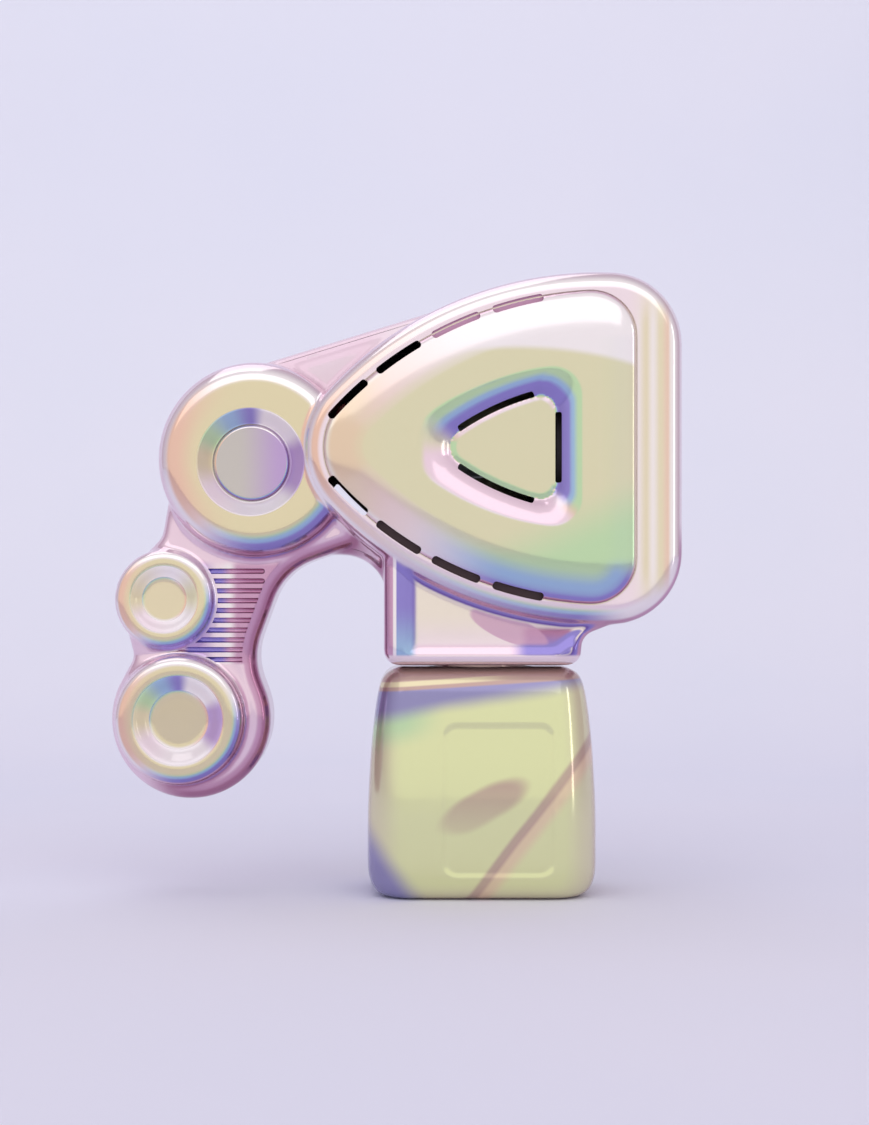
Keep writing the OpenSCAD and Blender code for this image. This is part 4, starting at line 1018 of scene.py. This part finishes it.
RIB_COUNT = 10
RIB_LOW = NECK_Z + 0.6
RIB_REACH = 24.5
GROOVE_SHARE = 0.55


def rib_grooves(sizes):
    """Rounded grooves between the drums and the arch that leave the grip's ribs."""
    x, low, high = SMALL[0], GRIP_HALF - sizes.rib_depth, GRIP_HALF + 2
    width = sizes.rib_pitch * GROOVE_SHARE
    rows = [RIB_LOW + i * sizes.rib_pitch for i in range(RIB_COUNT)]
    grooves = joined(*[bar(x, x + RIB_REACH, y, y + width, low, high, 0.6) for y in rows])
    grooves = combined(grooves, block(grip_line(SMALL_R - 1), low - 1, high + 1, GRIP_EDGE), "INTERSECT")
    drums = [rod(*SMALL, low - 2, high + 2, SMALL_R + 0.8), rod(*RING, low - 2, high + 2, RING_R + 0.8)]
    return cut(grooves, *drums)


def boss_rods(r, sides, low, high=None):
    """A rod at each screw boss, up to the boss's own top unless a height is given."""
    return joined(*[rod(x, y, low, high or top, r, sides) for x, y, top in BOSSES])


class BLOWER_OT_casing(bpy.types.Operator):
    """Moulds both halves of the casing as plated skins"""

    bl_idname = "blower.casing"
    bl_label = "Casing"

    def execute(self, context):
        sizes = context.scene.blower_sizes
        finish = ["casing_plating", "casing_inside"]
        skin, tree = casing_half(True)
        skin = cut(skin, rib_grooves(sizes), rod(*DISH, 5.0, DRUM_HALF, BUTTON_R + BUTTON_GAP, 96))
        skin = added(skin, boss_rods(BOSS_R, 32, 0.02))
        skin = cut(skin, boss_rods(PILOT_R, 24, -1, PILOT_TOP))
        finished(skin, "right_casing", RIGHT, finish, "casing", "right_shell", hollow=tree)

        skin, tree = casing_half(False)
        skin = cut(skin, shifted(block(door_outline(0.0), 5.0, 30.0), DOOR_PLACE))
        skin = added(skin, boss_rods(BOSS_R, 32, 0.02))
        skin = cut(skin, boss_rods(SCREW_R, 24, -1, 24), boss_rods(SCREW_HEAD_R, 32, SCREW_SEAT, 24))
        finished(skin, "left_casing", LEFT, finish, "casing", "left_shell", hollow=tree)
        return {"FINISHED"}


# The dome's edge: inset and height above the head. The intake's slope: share of the way out, and depth.
DOME = (
    (0.0, -1.1), (0.0, 0.15), (0.08, 0.4), (0.25, 0.62), (0.55, 0.82), (1.0, 1.02), (1.7, 1.25), (2.5, 1.47),
    (3.5, 1.7), (4.6, 1.92), (5.9, 2.12), (7.3, 2.29), (8.7, 2.41), (10.0, 2.5),
)
INTAKE_SLOPE = (
    (0.0, 3.0), (0.1, 2.45), (0.22, 1.85), (0.36, 1.28), (0.5, 0.82), (0.66, 0.45), (0.82, 0.18),
    (0.96, 0.02),
)
INTAKE_PLATE = ((0.2, 3.4), (0.2, 2.8), (0.6, 2.6))


def between_outlines(a, b, k):
    return [tuple(p + (q - p) * k for p, q in zip(c, d)) for c, d in zip(a, b)]


def panel_form(sizes):
    """Domed panel with a sunken triangular intake that runs in softly."""
    dome = loft([(PANEL, inset, HEAD_HALF + rise) for inset, rise in DOME])
    rings = [(between_outlines(INTAKE_FLOOR, INTAKE, k), 0, CROWN - depth) for k, depth in INTAKE_SLOPE]
    intake = loft([*rings, (INTAKE, 0, CROWN + 0.1), (INTAKE, -3, CROWN + 2)])
    plate = loft([(INTAKE_FLOOR, inset, CROWN - depth) for inset, depth in INTAKE_PLATE])
    return fused(joined(cut(dome, intake), plate), sizes.panel_skin, passes=6)


# Vents round the intake's floor: insets of their edges, and the lean of the two at the sides.
VENT_OUTER, VENT_INNER = -1.35, 0.15
VENT_LEAN = math.radians(25.8)
VENT_ROUND = 0.5


def intake_vents(low, high):
    """Three slots that hug the floor of the intake."""
    stretches = [bar(14.9, 20.9, AXIS_Z - 8.5, AXIS_Z + 8.5, low - 1, high + 1)]
    for side in (1, -1):
        place = at(NOSE_X + 25.7, AXIS_Z + side * 9.3, 0) @ spun_by(side * VENT_LEAN, "Z")
        stretches.append(shifted(bar(-10, 10, -4, 4, low - 1, high + 1), place))
    vents = []
    for stretch in stretches:
        floor = block(INTAKE_FLOOR, low - 1, high + 1, VENT_INNER)
        band = cut(block(INTAKE_FLOOR, low, high, VENT_OUTER), floor)
        vent = combined(band, stretch, "INTERSECT")
        rounded_ends(vent, VENT_ROUND)
        vents.append(vent)
    return vents


class BLOWER_OT_panels(bpy.types.Operator):
    """Makes the domed side panels with their vents and sunken intake"""

    bl_idname = "blower.panels"
    bl_label = "Side panels"

    def execute(self, context):
        sizes = context.scene.blower_sizes
        seat = HEAD_HALF - PANEL_SEAT
        for place, name, node in ((RIGHT, "right_dome", "right_panel"), (LEFT, "left_dome", "left_panel")):
            dome = panel_form(sizes)
            under = block(PANEL, seat - 2, HEAD_HALF + 0.4, PANEL_LEDGE + PANEL_GAP, 3.0)
            under = cut(under, block(INTAKE, seat - 3, CROWN, -0.6, 3.0))
            vents = intake_vents(HEAD_HALF - 6, CROWN + 2)
            slots = slot_tools(seat - 2, CROWN + 2, sizes)
            tree = tree_of(under, slots, *vents)
            dome = cut(dome, under, slots, *vents)
            finish = ["panel_plating", "casing_inside"]
            finished(dome, name, place, finish, "casing", node, hollow=tree)
        return {"FINISHED"}


class BLOWER_OT_muzzle(bpy.types.Operator):
    """Turns the round muzzle in the front of the head"""

    bl_idname = "blower.muzzle"
    bl_label = "Muzzle"

    def execute(self, context):
        bore, collar, flange = 11.95, 13.55, 15.35
        back, seat, front = 38.65, FRONT_X - WALL, FRONT_X - 0.3
        outline = [
            (bore, back), (flange, back), (flange, seat), (collar, seat), (collar, front, 0.4),
            (collar - 0.6, front, 0.25), (bore, seat - 2), (bore, back),
        ]
        place = at(0, 0, AXIS_Z) @ spun_by(math.pi / 2, "Y")
        finished(turned(outline), "muzzle_ring", place, ["casing_plating"], "casing", "muzzle")
        return {"FINISHED"}


class BLOWER_OT_button(bpy.types.Operator):
    """Turns the push button in the dish of the large drum, and winds its spring"""

    bl_idname = "blower.button"
    bl_label = "Push button"

    def execute(self, context):
        top, flange, step = DRUM_HALF - DISH_DEPTH + 0.5, BUTTON_R + 1.4, BUTTON_BACK + 1.2
        outline = [
            (0, STEM_END), (STEM_R, STEM_END), (STEM_R, BUTTON_BACK), (flange, BUTTON_BACK), (flange, step),
            (BUTTON_R, step), (BUTTON_R, top, 0.7), (7.4, top - 0.05, 6.0), (0, top - 0.45),
        ]
        form = turned(outline, DISH)
        finished(form, "push_button", RIGHT, ["button_plating"], "button", "power_button")
        wire = coil(DISH, SPRING_R, SPRING_WIRE_R, BOARD, BUTTON_BACK, SPRING_TURNS)
        spring = finished(wire, "return_spring", RIGHT, ["steel"], "casing", "button_spring")
        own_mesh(spring)
        return {"FINISHED"}


class BLOWER_OT_door(bpy.types.Operator):
    """Makes the door over the cells, with its screw seat"""

    bl_idname = "blower.door"
    bl_label = "Cell door"

    def execute(self, context):
        sizes = context.scene.blower_sizes
        slab = pillow(grip_line(SMALL_R), GRIP_HALF, GRIP_EDGE, sizes.edge_segments)
        lid = shifted(block(door_outline(-DOOR_GAP), GRIP_HALF - WALL, 30.0), DOOR_PLACE)
        lid = combined(lid, slab, "INTERSECT")
        lid = added(lid, shifted(rod(0, DOOR_SCREW, 7.4, GRIP_HALF - 0.8, BOSS_R, 48), DOOR_PLACE))
        for r, seat, sides in ((SCREW_R, 0, 32), (SCREW_HEAD_R, 9.0, 48)):
            lid = cut(lid, shifted(rod(0, DOOR_SCREW, seat, 30, r, sides), DOOR_PLACE))
        finished(lid, "door_lid", LEFT, ["casing_plating"], "door", "cell_door")
        return {"FINISHED"}


# Height and inset of the bottle's outside and inside, drawn for a height of 58.3 and scaled to the real one.
BOTTLE_SCALE = 56.3 / 58.3
BOTTLE_OUTSIDE = (
    (0, 5.6), (0.2, 4.3), (0.6, 3.2), (1.2, 2.3), (2, 1.6), (3, 1.0), (4.2, 0.55), (5.5, 0.25), (7, 0.06),
    (9, 0), (18, 0), (22, 0.06), (26, 0.2), (30, 0.4), (34, 0.62), (38, 0.9), (42, 1.26), (46, 1.7),
    (49, 2.1), (52, 2.6), (54, 3.1), (55.6, 3.75), (56.8, 4.7), (57.7, 6.1), (58.3, 8.2),
)
BOTTLE_INSIDE = (
    (1.5, 7), (2.5, 4), (5, 2), (9, 1.2), (18, 1.2), (38, 2.1), (46, 2.9), (52, 4), (55.3, 5.4), (57, 9.6),
)
BOTTLE_HALF = (28.0, 19.6)
BOTTLE_CORNER_R = 11.0
LABEL = (3.7, 24.35)
LABEL_HALF = (10.0, 14.85)
LABEL_R = 3.6
LABEL_EDGE = 0.8
LABEL_DEPTH = 0.4
MOUTH_R = 11.6
MOUTH_BORE_R = 10.0
MOUTH_TOP = 69.9
THREAD = ((11.2, 60.15), (12.7, 60.55), (12.7, 61.25), (11.2, 61.65))
THREAD_LIFT = 4.8
THREAD_STEPS = 90
BROAD_SIDE = 12.0


def vessel(rings):
    """Closed form of the bottle's plan, through rings of height and inset."""
    x, y = (half - BOTTLE_CORNER_R for half in BOTTLE_HALF)
    corners = [(i * x, j * y, BOTTLE_CORNER_R) for i, j in ((-1, -1), (1, -1), (1, 1), (-1, 1))]
    return loft([(corners, inset, z * BOTTLE_SCALE) for z, inset in rings], 0.8)


def sink_labels(bm):
    """Sinks a framed field into the bottle's broad sides."""
    for v in bm.verts:
        x, z = abs(v.co.x - LABEL[0]) - LABEL_HALF[0], abs(v.co.z - LABEL[1]) - LABEL_HALF[1]
        beyond = Vector((max(x, 0), max(z, 0))).length
        sunk = LABEL_DEPTH * min(max((LABEL_R - beyond) / LABEL_EDGE, 0.0), 1.0)
        if abs(v.co.y) > BROAD_SIDE:
            v.co.y -= math.copysign(sunk, v.co.y)


def thread_form():
    bm = bmesh.new()
    section = bm.faces.new([bm.verts.new((r, 0, z)) for r, z in THREAD])
    lift = (0, 0, THREAD_LIFT / THREAD_STEPS)
    swept(bm, [section, *section.edges, *section.verts], 3 * math.pi, THREAD_STEPS, dvec=lift)
    return close_up(bm)


class BLOWER_OT_bottle(bpy.types.Operator):
    """Blows the rounded bottle with its framed front, mouth and thread"""

    bl_idname = "blower.bottle"
    bl_label = "Bottle"

    def execute(self, context):
        skin = fused(vessel(BOTTLE_OUTSIDE), voxel=0.5, passes=2)
        sink_labels(skin)
        softened(skin, passes=2)
        low, top = 54.3, MOUTH_TOP
        mouth = [(0, low), (MOUTH_R, low), (MOUTH_R, top, 0.4), (MOUTH_BORE_R, top), (0, top)]
        skin = added(skin, turned(mouth, sides=96), thread_form())
        skin = cut(skin, vessel(BOTTLE_INSIDE), rod(0, 0, low - 3, top + 2.1, MOUTH_BORE_R, 96))
        finished(skin, "liquid_bottle", Matrix(), ["bottle_plating"], "bottle", "bottle")
        return {"FINISHED"}


class BLOWER_OT_inner_parts(bpy.types.Operator):
    """Gives every part inside the casing its own finish"""

    bl_idname = "blower.inner_parts"
    bl_label = "Inner parts"

    def execute(self, context):
        for sub in frame["record"]["subparts"]:
            node = frame["nodes"][sub["node"]]
            if node.hide_render:
                continue
            node.data.materials.clear()
            node.data.materials.append(swatch(sub["material_slot"]))
        return {"FINISHED"}


# Camera in metres: where it stands, the middle of its picture, and the height that the picture shows.
EYE_X, EYE_Z = -0.02125, 0.075
MIDDLE_X, MIDDLE_Z = -0.0114, 0.0819
FRAME_HEIGHT = 0.28125


class BLOWER_OT_stage(bpy.types.Operator):
    """Sets the pale floor, the studio lights and the camera"""

    bl_idname = "blower.stage"
    bl_label = "Studio"

    def execute(self, context):
        scene = context.scene
        scene.view_settings.view_transform = "Standard"
        self.sweep()
        self.lights()
        self.surroundings(scene)
        data = bpy.data.cameras.new("camera")
        camera = linked("camera", data)
        distance = scene.blower_sizes.camera_distance
        camera.location = (EYE_X, -distance, EYE_Z)
        camera.rotation_euler = (math.pi / 2, 0, 0)
        data.sensor_width = 36.0
        data.lens = data.sensor_width * distance / FRAME_HEIGHT
        data.shift_x = (MIDDLE_X - EYE_X) / FRAME_HEIGHT
        data.shift_y = (MIDDLE_Z - EYE_Z) / FRAME_HEIGHT
        data.clip_start, data.clip_end = 0.01, 20.0
        scene.camera = camera
        return {"FINISHED"}

    def sweep(self):
        """Floor that curves up into a backdrop."""
        near, back, top, bend, half = -1.2, 0.7, 1.6, 0.35, 2.0
        bm = draw_profile(bmesh.new(), [(near, 0), (back, 0, bend), (back, top)], 16)
        shifted(bm, at(-half, 0, 0) @ spun_by(math.pi / 2, "Z"))
        made = bmesh.ops.extrude_edge_only(bm, edges=bm.edges[:])["geom"]
        bmesh.ops.translate(bm, verts=verts_in(made), vec=(2 * half, 0, 0))
        for face in bm.faces:
            face.smooth = True
        bmesh.ops.recalc_face_normals(bm, faces=bm.faces)
        floor = as_object(bm, "floor")
        s = Sheet(bpy.data.materials.new("paper"))
        paper = s.mix(s.noise(6.0), (0.80, 0.83, 0.95), (0.86, 0.86, 0.96))
        s.settle(base_color=paper, roughness=0.9, specular_ior_level=0.1)
        floor.data.materials.append(s.owner)

    def lights(self):
        """Two broad soft boxes and a strip."""
        aim = Vector((0, 0, 0.1))
        for name, place, size, power in (
            ("key_box", (-0.10, -0.62, 0.52), (1.2, 0.35), 0.6),
            ("strip", (0.62, -0.42, 0.12), (0.06, 0.5), 0.2),
            ("top_box", (-0.2, 0.05, 0.9), (0.8, 0.5), 1.0),
        ):
            lamp = bpy.data.lights.new(name, "AREA")
            lamp.shape = "RECTANGLE"
            lamp.size, lamp.size_y = size
            lamp.energy = power
            obj = linked(name, lamp)
            obj.location = place
            obj.rotation_euler = (aim - Vector(place)).to_track_quat("-Z", "Y").to_euler()

    def surroundings(self, scene):
        """Soft room light, pale from the camera's side and duskier round the back."""
        scene.world = bpy.data.worlds.new("room")
        s = Sheet(scene.world, "Background")
        _, y, _ = s.parts(s.coords.outputs["Generated"])
        s.settle(color=s.mix(s.between(y, 0.1, -0.8), (0.50, 0.41, 0.49), (0.96, 0.94, 0.94)))


PIECES = (
    BLOWER_OT_casing, BLOWER_OT_panels, BLOWER_OT_muzzle, BLOWER_OT_button, BLOWER_OT_door, BLOWER_OT_bottle,
    BLOWER_OT_inner_parts, BLOWER_OT_stage,
)


class BLOWER_PT_sidebar(bpy.types.Panel):
    """Lists the blower's pieces, sizes and colours"""

    bl_idname = "BLOWER_PT_sidebar"
    bl_label = "Bubble Blower"
    bl_space_type = "VIEW_3D"
    bl_region_type = "UI"
    bl_category = "Blower"

    def draw(self, context):
        for piece in PIECES:
            self.layout.operator(piece.bl_idname)
        for group in (context.scene.blower_sizes, context.scene.blower_colours):
            box = self.layout.box()
            for key in group.__annotations__:
                box.prop(group, key)


CLASSES = (BlowerColours, BlowerSizes, *PIECES, BLOWER_PT_sidebar)


def register():
    for cls in CLASSES:
        bpy.utils.register_class(cls)
    bpy.types.Scene.blower_colours = PointerProperty(type=BlowerColours)
    bpy.types.Scene.blower_sizes = PointerProperty(type=BlowerSizes)


def unregister():
    del bpy.types.Scene.blower_sizes
    del bpy.types.Scene.blower_colours
    for cls in reversed(CLASSES):
        bpy.utils.unregister_class(cls)


def main():
    register()
    for piece in PIECES:
        group, name = piece.bl_idname.split(".")
        getattr(getattr(bpy.ops, group), name)()


if __name__ == "__main__":
    main()
